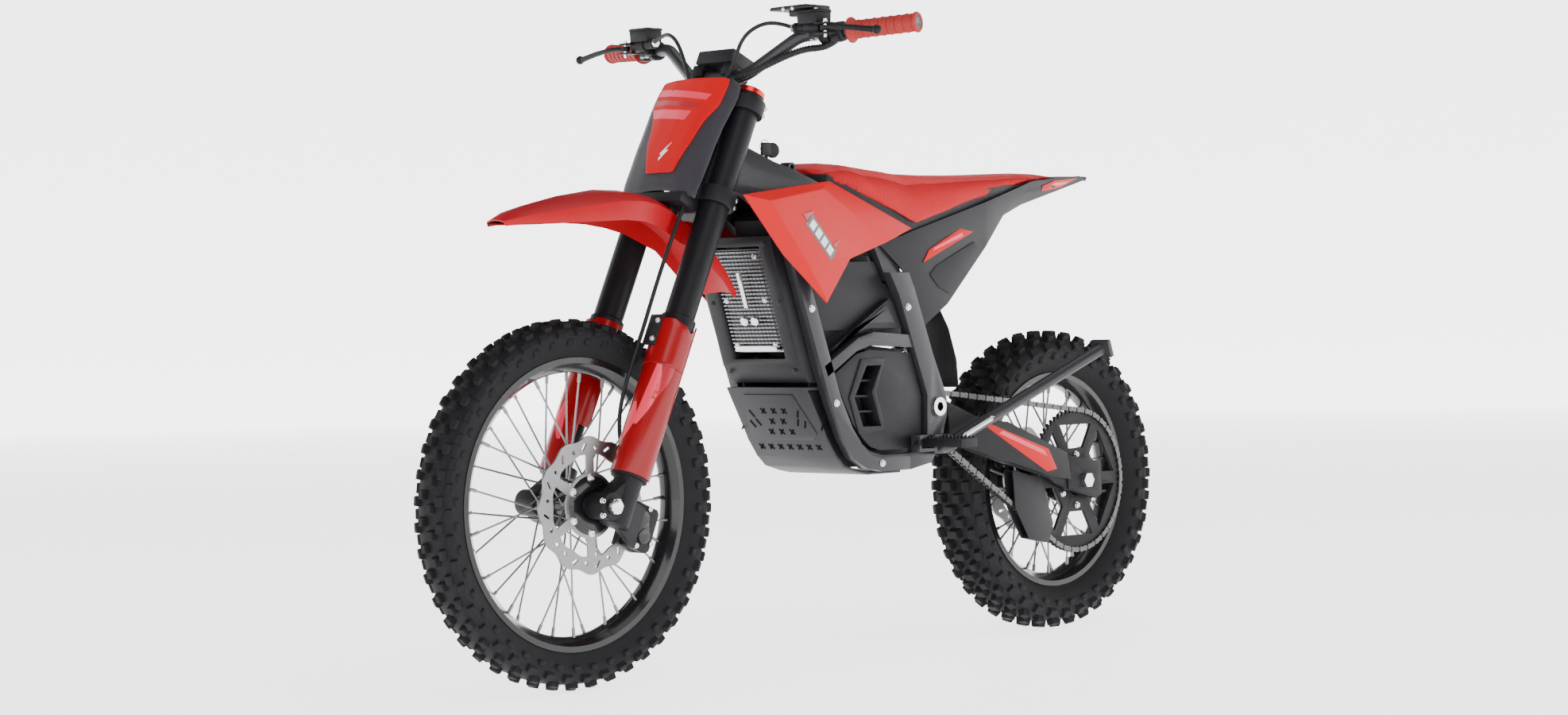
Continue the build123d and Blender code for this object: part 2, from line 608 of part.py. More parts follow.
lock = rod((KEY_X, 0, 874), (KEY_X, 0, 898), 13)
lock += rod((KEY_X, 0, 898), (KEY_X, 0, 905), 10)
lock -= rod((KEY_X, 0, 892), (KEY_X, 0, 910), 4 + RUNNING)
latch = cross(102, 896, 16, 40, 9, 5) + brick((98, 106), (18, 38), (882, 890))
put("key_switch", lock, latch - lid)
key = rod((KEY_X, 0, 893), (KEY_X, 0, 909), 4)
key += Pos(KEY_X, 0, 921) * Box(26, 7, 28)
put("key", key)

motor = cross(-5, 458, -78, 78, 84)
motor += plate([(-40, 385), (-5, 374), (-5, 542), (-60, 535), (-196, 500), (-214, 470), (-214, 440), (-196, 414)], -62, 58)
motor -= cross(PIVOT_X, PIVOT_Z, -90, 90, PIVOT_R + 0.3)
motor += brick((-70, 60), (-70, 70), (500, 599.5))
put("motor", motor)

cover = [(80, 522), (64, 484), (34, 430), (8, 402), (-10, 388), (-36, 380), (-122, 380), (-150, 400)]
cover += [(-152, 474), (-124, 556), (-12, 564), (24, 556)]
vent = [(-2, 535), (-40, 535), (-14, 488), (-38, 425), (10, 425), (32, 478)]
motor_cover = plate(cover, 86, 116) - plate(vent, 80, 120)
for z in (452, 480, 508):
    motor_cover += brick((-30, 30), (88, 106), (z - 2, z + 2)) & plate(vent, 88, 106)
upper_cover = plate([(92, 562), (-70, 656), (-80, 650), (-104, 602), (-20, 603), (28, 593)], 100.2, 113)
put("side_covers", *pair(motor_cover), *pair(upper_cover))

controller = plate([(130, 507), (152, 541), (224, 770), (170, 770), (104, 560), (104, 507)], -98, 98)
controller -= plate([(175, 552), (240, 752), (140, 752), (75, 552)], -64, 64)
put("controller_cover", controller)
sink = plate([(136, 556), (152, 556), (214, 748), (198, 748)], -62, 62)
for i in range(19):
    share = i / 18
    fx, fz = 152 + 60 * share, 560 + 184 * share
    sink += brick((fx - 4, fx + 9), (-60, 60), (fz - 2, fz + 2))
put("heat_sink", sink)

skid = [(142, 500), (90, 407), (66, 372), (44, 352), (10, 342), (-20, 336), (-110, 336)]
skid_in = [(-110, 341), (-20, 342), (8, 347), (40, 357), (61, 376), (85, 410), (132, 494), (104, 494), (104, 500)]
skid_plate = plate(skid + skid_in, -100, 100)
put("skid_plate", skid_plate)

shroud_points = {
    "tip": (338, 150, 839), "crease": (287, 165, 829), "top": (92, 123, 868), "top_low": (119, 134, 853),
    "mid": (195, 162, 722), "low": (140, 153, 660), "front": (239, 147, 736), "foot": (130, 147, 649),
    "notch": (61, 142, 728), "back_low": (-52, 127, 758), "back": (-130, 121, 785),
}
shroud_loops = [
    ("tip", "front", "mid", "crease"), ("front", "foot", "low", "mid"), ("tip", "crease", "top_low", "top"),
    ("crease", "mid", "notch", "top_low"), ("mid", "low", "notch"), ("low", "foot", "notch"),
    ("top_low", "notch", "back_low"), ("top", "top_low", "back_low", "back"),
]
shroud = facet_panel(shroud_points, shroud_loops, (0, -SHEET, 0))
put("left_shroud", shroud)
put("right_shroud", flip(shroud))

panel_points = {
    "a": (-52, 111, 754), "b": (-142, 113, 781), "c": (-350, 111, 836), "d": (-509, 94, 879),
    "e": (-613, 76, 888), "f": (-700, 58, 895), "g": (-735, 47, 889), "h": (-515, 60, 835),
    "i": (-436, 82, 813), "j": (-359, 102, 752), "k": (-242, 106, 645), "l": (-173, 106, 604),
    "m": (-121, 111, 701),
}
panel_loops = [
    ("a", "b", "m"), ("b", "k", "l", "m"), ("b", "j", "k"), ("b", "c", "j"), ("c", "i", "j"),
    ("c", "d", "i"), ("d", "h", "i"), ("d", "e", "h"), ("e", "f", "h"), ("f", "g", "h"),
]
side_panel = facet_panel(panel_points, panel_loops, (0, -SHEET, 0))
tail_top = ruled([
    [(-615, 0.2, 889), (-615, 74.5, 884.5), (-615, 74.5, 887.5), (-615, 0.2, 893)],
    [(-700, 0.2, 893), (-700, 56.5, 890.5), (-700, 56.5, 894), (-700, 0.2, 896.5)],
    [(-735, 0.2, 893.5), (-735, 45.5, 885.5), (-735, 45.5, 888.5), (-735, 0.2, 897)],
    [(-778, 0.2, 896), (-778, 14, 894), (-778, 14, 896), (-778, 0.2, 898)],
])
side_panel += tail_top
put("left_side_panel", side_panel)
put("right_side_panel", flip(side_panel))

seat_rows = [
    (84, 905, 50, 897), (60, 904, 94, 871), (0, 900, 112, 844), (-80, 892, 117, 814), (-145, 886, 118, 789),
    (-230, 885, 116, 811), (-330, 887, 113, 838), (-420, 891, 106, 861), (-513, 895, 94, 884),
    (-613, 896, 74, 891.5),
]
sections = []
for x, top, half, low in seat_rows:
    under = top - 34 if x > -400 else top - 26
    under = max(under, low + 0.4) if x > 50 or x < -400 else under
    under = min(under, top - 3.5)
    side = [(x, half, low), (x, half * 0.97, low + 0.55 * (top - low)), (x, half * 0.72, top - 3), (x, half * 0.35, top)]
    inside = [(x, half - 10, min(low + 0.4, top - 5)), (x, half - 22, under)]
    right = [(px, -py, pz) for px, py, pz in reversed(side)]
    inside_right = [(px, -py, pz) for px, py, pz in inside]
    sections.append(side + right + inside_right + list(reversed(inside)))
put("seat", ruled(sections))

flap_rows = [(-262, 648, 62), (-292, 600, 64), (-318, 540, 60), (-330, 486, 54)]
flap = [[(x, -half, z), (x + 4, -half / 2, z), (x + 6, 0, z), (x + 4, half / 2, z), (x, half, z)] for x, z, half in flap_rows]
put("mudflap", grid_panel(flap, [(4, 0, 2)] * len(flap)))

pivot_axle = cross(PIVOT_X, PIVOT_Z, -129, 129, PIVOT_R, PIVOT_BORE_R)
for low, high in ((124.3, 129), (-129, -124.3)):
    pivot_axle += cross(PIVOT_X, PIVOT_Z, low, high, 17, PIVOT_BORE_R)
put("pivot_axle", pivot_axle)

bolts = []
for x, z, y in ((98 - 14, 470, 122), (-35, 357, 122), (156 - 12, 640, 122), (-110, 640, 124)):
    bolts.append(cross(x, z, y, y + 5, 6.5))
bolt_pairs = [flip(b) for b in bolts]
put("frame_bolts", *(bolts + bolt_pairs))

# ---------------------------------------------------------------- swingarm

arm_inner = [(-190, 482), (-341, 424), (-399, 420), (-577, 352), (-600, 340), (-600, 276), (-539, 304), (-327, 360), (-205, 400)]
arm = plate(arm_inner, 92, 102.5) + cross(PIVOT_X, PIVOT_Z, 90, 102.5, 27)
arm += plate([(-226, 456), (-341, 423), (-399, 419), (-577, 352), (-588, 300), (-539, 306), (-327, 361), (-232, 388)], 102, 115)
arm += plate([(-590, 346), (-690, 330), (-694, 266), (-676, 258), (-590, 280)], 90, 106)
arm -= cross(RX, RZ, 80, 120, AXLE_R + RUNNING)
arm -= cross(PIVOT_X, PIVOT_Z, 80, 120, PIVOT_R + RUNNING)
cross_tube = cross(-300, 410, -94, 94, 27)
clevis = cross(-300, 410, -22, 22, 27)
for y in (-19, 19):
    clevis += plate([(-318, 420), (-282, 420), (-276, 448), (-282, 464), (-298, 464), (-304, 448)], y - 3, y + 3)
swingarm = arm + flip(arm) + cross_tube + clevis
swingarm += cross(SHOCK_EYE[0], SHOCK_EYE[1], -22, 22, SHOCK_PIN_R)
put("swingarm", swingarm)

rear_axle = cross(RX, RZ, -116, 116, AXLE_R)
rear_axle += cross(RX, RZ, 84.3, 89.8, 16) + cross(RX, RZ, -89.8, -62.3, 16)
for y in (111.5, -111.5):
    rear_axle += Pos(RX, y, RZ) * Rot(90, 0, 0) * extrude(RegularPolygon(15, 6), amount=5, both=True)
put("rear_axle", rear_axle)

PULL = (REAR_SPROCKET_R - FRONT_SPROCKET_R) / hypot(PIVOT_X - RX, PIVOT_Z - RZ)
CENTRE_ANGLE = atan2(PIVOT_Z - RZ, PIVOT_X - RX)


def loop_face(grow):
    """Outline of the chain line round both sprockets, grown by a distance."""
    big = Pos(RX, RZ) * Circle(REAR_SPROCKET_R + grow)
    small = Pos(PIVOT_X, PIVOT_Z) * Circle(FRONT_SPROCKET_R + grow)
    return make_hull(big.edges() + small.edges())


def loop_band(y_low, y_high):
    band = extrude(loop_face(6) - loop_face(-6), amount=y_high - y_low)
    return Pos(0, y_high, 0) * Rot(90, 0, 0) * band


chain = loop_band(CHAIN_Y - 7, CHAIN_Y - 4) + loop_band(CHAIN_Y + 4, CHAIN_Y + 7)
for side in (1, -1):
    normal = CENTRE_ANGLE + side * (pi / 2 - asin(PULL))
    a = Vector(RX + REAR_SPROCKET_R * cos(normal), 0, RZ + REAR_SPROCKET_R * sin(normal))
    b = Vector(PIVOT_X + FRONT_SPROCKET_R * cos(normal), 0, PIVOT_Z + FRONT_SPROCKET_R * sin(normal))
    run = (b - a).length
    for i in range(4, int(run / CHAIN_PITCH) - 2):
        p = a + (b - a) * (i * CHAIN_PITCH / run)
        chain += cross(p.X, p.Z, CHAIN_Y - 7, CHAIN_Y + 7, 4)
put("chain", chain)

guide_side = [(-440, 325), (-526, 304), (-560, 215), (-545, 178), (-486, 190), (-446, 252)]
chain_guide = plate(guide_side, 88.2, 91.6) + plate(guide_side, 68.4, 71.8)
chain_guide += plate([(-545, 178), (-486, 190), (-492, 198), (-543, 187)], 68.4, 91.6)
put("chain_guide", chain_guide)

REAR_CALIPER_ANGLE = radians(32)
rear_caliper = caliper(RX, RZ, -60, 1, REAR_CALIPER_ANGLE, 100, (48, 32, 72))
put("rear_caliper", rear_caliper)

# ---------------------------------------------------------------- shock

top = Vector(SHOCK_TOP[0], 0, SHOCK_TOP[1])
eye = Vector(SHOCK_EYE[0], 0, SHOCK_EYE[1])
shock_way = (eye - top).normalized()
shock_length = (eye - top).length


def on_shock(distance):
    return top + shock_way * distance


shock_body = cross(SHOCK_TOP[0], SHOCK_TOP[1], -18, 18, 14)
shock_body += rod(on_shock(8), on_shock(34), 15)
shock_body += rod(on_shock(30), on_shock(38), 33)
shock_body += rod(on_shock(34), on_shock(140), 20)
shock_body -= cross(SHOCK_TOP[0], SHOCK_TOP[1], -30, 30, SHOCK_PIN_R + RUNNING)
shock_body -= rod(on_shock(70), on_shock(142), 7 + RUNNING)
put("shock_body", shock_body)
shock_rod = rod(on_shock(112), on_shock(shock_length - 12), 7)
shock_rod += rod(on_shock(212), on_shock(220), 33)
shock_rod += cross(SHOCK_EYE[0], SHOCK_EYE[1], -15, 15, 16)
shock_rod -= cross(SHOCK_EYE[0], SHOCK_EYE[1], -20, 20, SHOCK_PIN_R + OPEN_EYE_GAP)
put("shock_rod", shock_rod)
coil = Helix(pitch=21.4, height=164, radius=27)
wire = sweep(Plane(origin=coil @ 0, z_dir=coil % 0) * Circle(4.4), path=coil)
spring_frame = Plane(origin=on_shock(42.8), z_dir=shock_way)
put("shock_spring", spring_frame * wire)

# ---------------------------------------------------------------- stand and pegs

stand = rod(STAND_PIVOT, STAND_FOOT, STAND_R)
stand += rod(stand_pivot - stand_axis * 10, stand_pivot + stand_axis * 10, 15)
foot_way = (Vector(*STAND_FOOT) - stand_pivot).normalized()
foot_plane = Plane(origin=STAND_FOOT, z_dir=foot_way, x_dir=(0, 1, 0))
stand += foot_plane * Box(44, 34, 10)
stand -= rod(stand_pivot - stand_axis * 16, stand_pivot + stand_axis * 16, STAND_PIN_R + RUNNING)
put("kickstand", stand)
spring_from = stand_pivot + Vector(-22, STAND_SPRING_OUT, 14)
spring_to = stand_pivot + foot_way * 118 + Vector(0, STAND_SPRING_OUT, 6)
put("kickstand_spring", rod(spring_from, spring_to, STAND_SPRING_R))


def peg(side):
    """Folding foot peg with a toothed tread."""
    solid = rod((PEG_X - 17, PEG_HINGE_Y, PEG_Z), (PEG_X + 17, PEG_HINGE_Y, PEG_Z), 6.8)
    solid += brick((PEG_X - 16, PEG_X + 16), (146.5, 160), (PEG_Z - 6, PEG_Z + 8))
    tread = brick((PEG_X - 22, PEG_X + 22), (160, 246), (PEG_Z - 6, PEG_Z + 10))
    tread -= brick((PEG_X - 16, PEG_X + 16), (168, 198), (PEG_Z - 9, PEG_Z + 15))
    tread -= brick((PEG_X - 16, PEG_X + 16), (206, 238), (PEG_Z - 9, PEG_Z + 15))
    solid += tread + brick((PEG_X - 16, PEG_X + 16), (PEG_HINGE_Y, 147), (PEG_Z - 6, PEG_Z + 6))
    solid += rod((PEG_X - 26, PEG_HINGE_Y, PEG_Z), (PEG_X + 26, PEG_HINGE_Y, PEG_Z), 4)
    return solid if side > 0 else flip(solid)


put("left_peg", peg(1))
put("right_peg", peg(-1))

os.makedirs("parts", exist_ok=True)
for node, shape in PARTS.items():
    export_step(shape, f"parts/{node}.step")
print(len(PARTS), "nodes")
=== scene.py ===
"""Electric dirt bike, looks only: most pieces ride on a CAD body; the hoses, cables and shock spring ride on
none. Metres.
"""
import bpy
import bmesh
import json
import random
from math import asin, atan2, cos, exp, pi, radians, sin, sqrt
from mathutils import Matrix, Vector
from mathutils.geometry import tessellate_polygon


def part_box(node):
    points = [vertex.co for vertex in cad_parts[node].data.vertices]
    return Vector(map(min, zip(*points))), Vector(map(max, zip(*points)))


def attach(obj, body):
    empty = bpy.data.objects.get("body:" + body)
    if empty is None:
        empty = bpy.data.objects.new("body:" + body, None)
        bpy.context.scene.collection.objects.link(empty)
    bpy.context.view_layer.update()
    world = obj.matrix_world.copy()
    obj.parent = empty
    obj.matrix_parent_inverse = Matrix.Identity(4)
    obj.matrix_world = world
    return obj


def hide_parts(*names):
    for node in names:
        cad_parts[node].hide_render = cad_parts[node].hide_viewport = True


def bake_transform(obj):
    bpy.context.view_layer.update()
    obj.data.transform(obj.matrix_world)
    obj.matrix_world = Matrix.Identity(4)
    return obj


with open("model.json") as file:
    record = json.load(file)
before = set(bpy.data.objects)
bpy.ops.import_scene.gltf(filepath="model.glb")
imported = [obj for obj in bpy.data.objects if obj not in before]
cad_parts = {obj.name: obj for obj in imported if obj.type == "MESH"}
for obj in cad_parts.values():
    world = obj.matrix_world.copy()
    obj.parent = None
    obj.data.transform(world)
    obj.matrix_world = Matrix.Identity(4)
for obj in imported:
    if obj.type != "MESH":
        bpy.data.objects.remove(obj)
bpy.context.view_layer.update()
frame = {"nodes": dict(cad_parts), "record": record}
random.seed(7)
NODES = frame["nodes"]
BODY_OF = {n: b for b, ns in frame["record"]["behaviour"]["bodies"].items() for n in ns}

MM = 0.001
MERGE = 2e-5
ACROSS = Vector((0, 1, 0))
SIDES = ((1, "left"), (-1, "right"))
AXLE_X, AXLE_Z = 622.7, 315.5
RAKE = radians(24.886)
FRONT_AXLE = Vector((0.6227, 0, 0.3155))
REAR_AXLE = Vector((-0.6429, 0, 0.2953))
PIVOT = Vector((-0.190, 0, 0.455))
LEG_N = -34.1
STEM_N = -62.1
LEG_Y = 90.4


def mm(x, y, z):
    """Place or offset given in millimetres, as a vector in metres."""
    return Vector((x, y, z)) * MM


# ---- camera and light

CAM_AZ, CAM_EL, CAM_ROLL = radians(45.8315), radians(0.7852), radians(-1.0508)
CAM_AIM, CAM_DISTANCE, CAM_LENS = Vector((0.0908, 0, 0.5525)), 5.6487, 71.38
cam_back = Vector((cos(CAM_EL) * sin(CAM_AZ), cos(CAM_EL) * cos(CAM_AZ), sin(CAM_EL)))
cam_right = (-cam_back).cross(Vector((0, 0, 1))).normalized()
cam_up = cam_right.cross(-cam_back)
cam_x = cam_right * cos(CAM_ROLL) + cam_up * sin(CAM_ROLL)
cam_y = cam_up * cos(CAM_ROLL) - cam_right * sin(CAM_ROLL)
camera_data = bpy.data.cameras.new("camera")
camera = bpy.data.objects.new("camera", camera_data)
bpy.context.scene.collection.objects.link(camera)
basis = Matrix((cam_x, cam_y, cam_back)).transposed().to_4x4()
basis.translation = CAM_AIM + cam_back * CAM_DISTANCE
camera.matrix_world = basis
camera_data.lens = CAM_LENS
camera_data.sensor_width = 36
camera_data.dof.use_dof = False
bpy.context.scene.camera = camera


def area_light(name, location, target, size, power):
    """White rectangle light that faces its target; metres and watts."""
    data = bpy.data.lights.new(name, "AREA")
    data.shape = "RECTANGLE"
    data.size, data.size_y = size
    data.energy = power
    light = bpy.data.objects.new(name, data)
    bpy.context.scene.collection.objects.link(light)
    light.location = location
    light.rotation_euler = (Vector(target) - Vector(location)).to_track_quat("-Z", "Y").to_euler()


area_light("key_light", (2.4, 3.4, 4.2), (0, 0, 0.6), (3.2, 2.4), 95)
area_light("top_light", (-0.4, 0.4, 4.6), (0, 0, 0.5), (4.5, 3.0), 85)
area_light("rear_light", (-3.6, 2.2, 2.6), (-0.3, 0, 0.6), (2.0, 2.4), 40)
area_light("far_light", (1.0, -4.0, 3.0), (0, 0, 0.6), (3.0, 2.0), 30)
world = bpy.data.worlds.new("world")
bpy.context.scene.world = world
world.use_nodes = True
world.node_tree.nodes["Background"].inputs[0].default_value = (1, 1, 1, 1)
world.node_tree.nodes["Background"].inputs[1].default_value = 0.12

# ---- materials


def material(name, colour, rough, metal=0.0, grain=0.0, grain_scale=400.0, coat=0.0, bump=0.0,
             bump_scale=600.0, rough_var=0.06, sheen=0.0, spec=0.22):
    """Principled material with procedural colour, roughness and bump variation."""
    mat = bpy.data.materials.new(name)
    mat.use_nodes = True
    tree = mat.node_tree
    shader = tree.nodes["Principled BSDF"]
    shader.inputs["Metallic"].default_value = metal
    shader.inputs["Coat Weight"].default_value = coat
    shader.inputs["Coat Roughness"].default_value = 0.08
    shader.inputs["Specular IOR Level"].default_value = spec
    shader.inputs["Sheen Weight"].default_value = sheen
    place = tree.nodes.new("ShaderNodeTexCoord")
    noise = tree.nodes.new("ShaderNodeTexNoise")
    noise.inputs["Scale"].default_value = grain_scale
    noise.inputs["Detail"].default_value = 3
    tree.links.new(place.outputs["Object"], noise.inputs["Vector"])
    ramp = tree.nodes.new("ShaderNodeMix")
    ramp.data_type = "RGBA"
    low = [max(0, c * (1 - grain)) for c in colour]
    high = [min(1, c * (1 + grain)) for c in colour]
    ramp.inputs["A"].default_value = (*low, 1)
    ramp.inputs["B"].default_value = (*high, 1)
    tree.links.new(noise.outputs["Fac"], ramp.inputs["Factor"])
    tree.links.new(ramp.outputs["Result"], shader.inputs["Base Color"])
    wear = tree.nodes.new("ShaderNodeTexNoise")
    wear.inputs["Scale"].default_value = 14
    wear.inputs["Detail"].default_value = 4
    tree.links.new(place.outputs["Object"], wear.inputs["Vector"])
    spread = tree.nodes.new("ShaderNodeMapRange")
    spread.inputs["To Min"].default_value = max(0.02, rough - rough_var)
    spread.inputs["To Max"].default_value = min(1, rough + rough_var)
    tree.links.new(wear.outputs["Fac"], spread.inputs["Value"])
    tree.links.new(spread.outputs["Result"], shader.inputs["Roughness"])
    if bump:
        texture = tree.nodes.new("ShaderNodeTexNoise")
        texture.inputs["Scale"].default_value = bump_scale
        texture.inputs["Detail"].default_value = 2
        tree.links.new(place.outputs["Object"], texture.inputs["Vector"])
        relief = tree.nodes.new("ShaderNodeBump")
        relief.inputs["Strength"].default_value = bump
        relief.inputs["Distance"].default_value = 0.0006
        tree.links.new(texture.outputs["Fac"], relief.inputs["Height"])
        tree.links.new(relief.outputs["Normal"], shader.inputs["Normal"])
    return mat


RED = material("red_plastic_m", (0.44, 0.003, 0.006), 0.4, spec=0.12, grain=0.02, bump=0.05, bump_scale=250)
FENDER_RED = material("fender_red_m", (0.33, 0.005, 0.010), 0.4, spec=0.14, grain=0.02, bump=0.05,
                      bump_scale=250)
GLOSS_RED = material("guard_red_m", (0.20, 0.003, 0.005), 0.24, coat=0.1, grain=0.02, rough_var=0.04)
GRIP_RED = material("grip_red_m", (0.28, 0.022, 0.020), 0.62, grain=0.05, bump=0.3, bump_scale=900)
SEAT_RED = material("seat_red_m", (0.46, 0.005, 0.010), 0.66, grain=0.05, bump=0.35, bump_scale=1300,
                    sheen=0.1)
SEAT_SIDE = material("seat_side_m", (0.38, 0.003, 0.007), 0.66, grain=0.06, bump=0.4, bump_scale=900)
PLASTIC = material("black_plastic_m", (0.0095, 0.009, 0.011), 0.5, grain=0.15, bump=0.35, bump_scale=900)
GREY_PLASTIC = material("grey_plastic_m", (0.024, 0.023, 0.027), 0.5, grain=0.1, bump=0.3, bump_scale=900)
PAINT = material("frame_paint_m", (0.020, 0.020, 0.023), 0.38, grain=0.1, coat=0.15, bump=0.12,
                 bump_scale=700)
CAST = material("cast_black_m", (0.006, 0.006, 0.0072), 0.52, metal=0.2, grain=0.2, bump=0.5, bump_scale=1200)
GLOSS_BLACK = material("gloss_black_m", (0.006, 0.006, 0.007), 0.2, coat=0.3, grain=0.05, rough_var=0.04)
RUBBER = material("tyre_rubber_m", (0.0045, 0.0045, 0.0056), 0.75, grain=0.3, bump=0.6, bump_scale=500)
HOSE = material("hose_rubber_m", (0.008, 0.008, 0.009), 0.5, grain=0.2)
SINK_ALLOY = material("heat_sink_m", (0.26, 0.26, 0.27), 0.42, metal=1.0, grain=0.1)
ALLOY = material("alloy_m", (0.62, 0.62, 0.63), 0.32, metal=1.0, grain=0.06, bump=0.1, bump_scale=900)
STEEL = material("bright_steel_m", (0.70, 0.70, 0.71), 0.22, metal=1.0, grain=0.05, rough_var=0.08)
SATIN_BLACK = material("satin_black_m", (0.0045, 0.0045, 0.006), 0.42, grain=0.1, spec=0.14)
# plate shell: black plastic with a lightened base colour, which carries a painted sheen
SHELL_BLACK_WITH_SHEEN = material("plate_shell_painted_sheen_m", (0.030, 0.028, 0.034), 0.42, grain=0.12, bump=0.3, bump_scale=900)
SPOKE_STEEL = material("spoke_steel_m", (0.20, 0.20, 0.21), 0.35, metal=1.0, grain=0.08)
DISC = material("disc_steel_m", (0.20, 0.195, 0.195), 0.36, metal=1.0, grain=0.1, rough_var=0.1)
DARK_STEEL = material("dark_steel_m", (0.11, 0.105, 0.10), 0.4, metal=1.0, grain=0.15, rough_var=0.1)
WHITE = material("pale_label_m", (0.72, 0.72, 0.73), 0.4, grain=0.02)
ANOD_RED = material("anodised_red_m", (0.55, 0.02, 0.02), 0.25, metal=0.9, grain=0.05)
GLASS = material("display_glass_m", (0.006, 0.006, 0.007), 0.06, coat=1.0, rough_var=0.02)

# ---- mesh helpers


def shade(obj, angle):
    """Smooth faces, with the edges sharper than the angle kept crisp."""
    for poly in obj.data.polygons:
        poly.use_smooth = True
    bm = bmesh.new()
    bm.from_mesh(obj.data)
    for edge in bm.edges:
        edge.smooth = len(edge.link_faces) == 2 and edge.calc_face_angle(0) < radians(angle)
    bm.to_mesh(obj.data)
    bm.free()


def from_bmesh(name, bm, body, mat, slot=None, bevel=0.0, segments=2, smooth=40, limit=30):
    """Scene object from a bmesh, on its body, with rounded edges and soft shading."""
    mesh = bpy.data.meshes.new(name)
    bm.to_mesh(mesh)
    bm.free()
    obj = bpy.data.objects.new(name, mesh)
    bpy.context.scene.collection.objects.link(obj)
    mesh.materials.append(mat)
    if body:
        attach(obj, body)
    if bevel:
        round_edges(obj, bevel, segments, limit)
    shade(obj, smooth)
    return obj


def apply_modifiers(obj):
    bpy.context.view_layer.update()
    depsgraph = bpy.context.evaluated_depsgraph_get()
    mesh = bpy.data.meshes.new_from_object(obj.evaluated_get(depsgraph))
    obj.modifiers.clear()
    obj.data = mesh


def round_edges(obj, width, segments=2, limit=30):
    bevel = obj.modifiers.new("round", "BEVEL")
    bevel.width = width
    bevel.segments = segments
    bevel.limit_method = "ANGLE"
    bevel.angle_limit = radians(limit)
    apply_modifiers(obj)


def rounded_copy(node, mat, width, slot):
    """The CAD node's own shape with its edges rounded."""
    source = NODES[node]
    bm = bmesh.new()
    bm.from_mesh(source.data)
    bm.transform(source.matrix_world)
    bmesh.ops.remove_doubles(bm, verts=bm.verts, dist=MERGE)
    bmesh.ops.dissolve_limit(bm, angle_limit=radians(1.5), verts=bm.verts, edges=bm.edges)
    look(node, bm, mat, slot, bevel=width, smooth=38, limit=32)


def look(node, bm, mat, slot, **shape):
    """Detailed piece on the CAD node's own body that stands in for the node."""
    piece = from_bmesh(node + "_look", bm, BODY_OF[node], mat, slot, **shape)
    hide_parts(node)


def basis_of(axis):
    """Two directions square to an axis, and the axis itself."""
    axis = Vector(axis).normalized()
    side = Vector((1, 0, 0)) if abs(axis.x) < 0.8 else Vector((0, 0, 1))
    u = (side - axis * side.dot(axis)).normalized()
    return u, axis.cross(u), axis


def skin(bm, a, b):
    """Quads between two rings of the same length."""
    for i in range(len(a)):
        j = (i + 1) % len(a)
        bm.faces.new((a[i], a[j], b[j], b[i]))


def lathe(bm, profile, origin, axis=ACROSS, segments=48, closed=True):
    """Turned shape from (radius, height) pairs in millimetres, about an axis."""
    u, v, w = basis_of(axis)
    origin = Vector(origin)
    rings = []
    for r, h in profile:
        ring = []
        for i in range(segments):
            a = 2 * pi * i / segments
            ring.append(bm.verts.new(origin + (u * cos(a) + v * sin(a)) * r * MM + w * h * MM))
        rings.append(ring)
    for a, b in zip(rings, rings[1:]):
        skin(bm, a, b)
    if closed:
        skin(bm, rings[-1], rings[0])
    else:
        bm.faces.new(rings[0][::-1])
        bm.faces.new(rings[-1])


def block(bm, centre, size, turn=None, taper=1.0):
    """Box with an optional tapered top; centre in metres, sizes in millimetres."""
    turn = turn or Matrix.Identity(3)
    long, wide, high = (d * MM for d in size)
    verts = []
    for z in (-0.5, 0.5):
        k = taper if z > 0 else 1.0
        for x, y in ((-0.5, -0.5), (0.5, -0.5), (0.5, 0.5), (-0.5, 0.5)):
            local = Vector((x * long * k, y * wide * k, z * high))
            verts.append(bm.verts.new(Vector(centre) + turn @ local))
    for face in ((3, 2, 1, 0), (4, 5, 6, 7), (0, 1, 5, 4), (1, 2, 6, 5), (2, 3, 7, 6), (3, 0, 4, 7)):
        bm.faces.new([verts[i] for i in face])


def prism(bm, outline, low, high, place=lambda a, b, c: mm(a, c, b)):
    """Outline of (a, b) pairs in mm carried from low to high along the third axis."""
    bottom = [bm.verts.new(place(a, b, low)) for a, b in outline]
    top = [bm.verts.new(place(a, b, high)) for a, b in outline]
    bm.faces.new(bottom)
    bm.faces.new(top[::-1])
    skin(bm, top, bottom)


def bar(bm, a, b, radius, segments=16, radius_b=None):
    """Round bar, or a cone where the far end has its own radius."""
    a, b = Vector(a), Vector(b)
    length = (b - a).length / MM
    lathe(bm, [(radius, 0), (radius if radius_b is None else radius_b, length)], a, b - a, segments, False)


def bolt(bm, at, axis, radius=6.0, height=5.0):
    """Socket-head bolt with a washer."""
    washer = radius * 1.25
    profile = [(washer, 0), (washer, 1.0), (radius, 1.2), (radius, height * 0.85), (radius * 0.85, height),
               (radius * 0.5, height), (radius * 0.48, height * 0.45)]
    lathe(bm, profile, at, axis, 20, False)


def bolt_circle(bm, centre, count, circle, y, radius, height):
    """Bolts on a circle round an axle."""
    for i in range(count):
        a = 2 * pi * (i + 0.5) / count
        bolt(bm, centre + Vector((circle * cos(a), y, circle * sin(a))) * MM, ACROSS, radius, height)


def hexagon(bm, at, axis, radius, height):
    """Hexagonal nut or screw head."""
    lathe(bm, [(radius, 0), (radius, height * 0.8), (radius * 0.9, height)], at, axis, 6, False)


def fork_point(s, n=LEG_N, y=0.0):
    """Place by the fork, in mm: s up it and n ahead of it from the front axle, y to the left."""
    x = AXLE_X - s * sin(RAKE) + n * cos(RAKE)
    z = AXLE_Z + s * cos(RAKE) + n * sin(RAKE)
    return mm(x, y, z)


def fork_mm(s, n=LEG_N, y=0.0):
    """The same place as a tuple in mm, for routes and rows."""
    return tuple(fork_point(s, n, y) / MM)


FORK_UP = Vector((-sin(RAKE), 0, cos(RAKE)))
FORK_AHEAD = Vector((cos(RAKE), 0, sin(RAKE)))
FORK_TURN = Matrix((FORK_AHEAD, ACROSS, FORK_UP)).transposed()


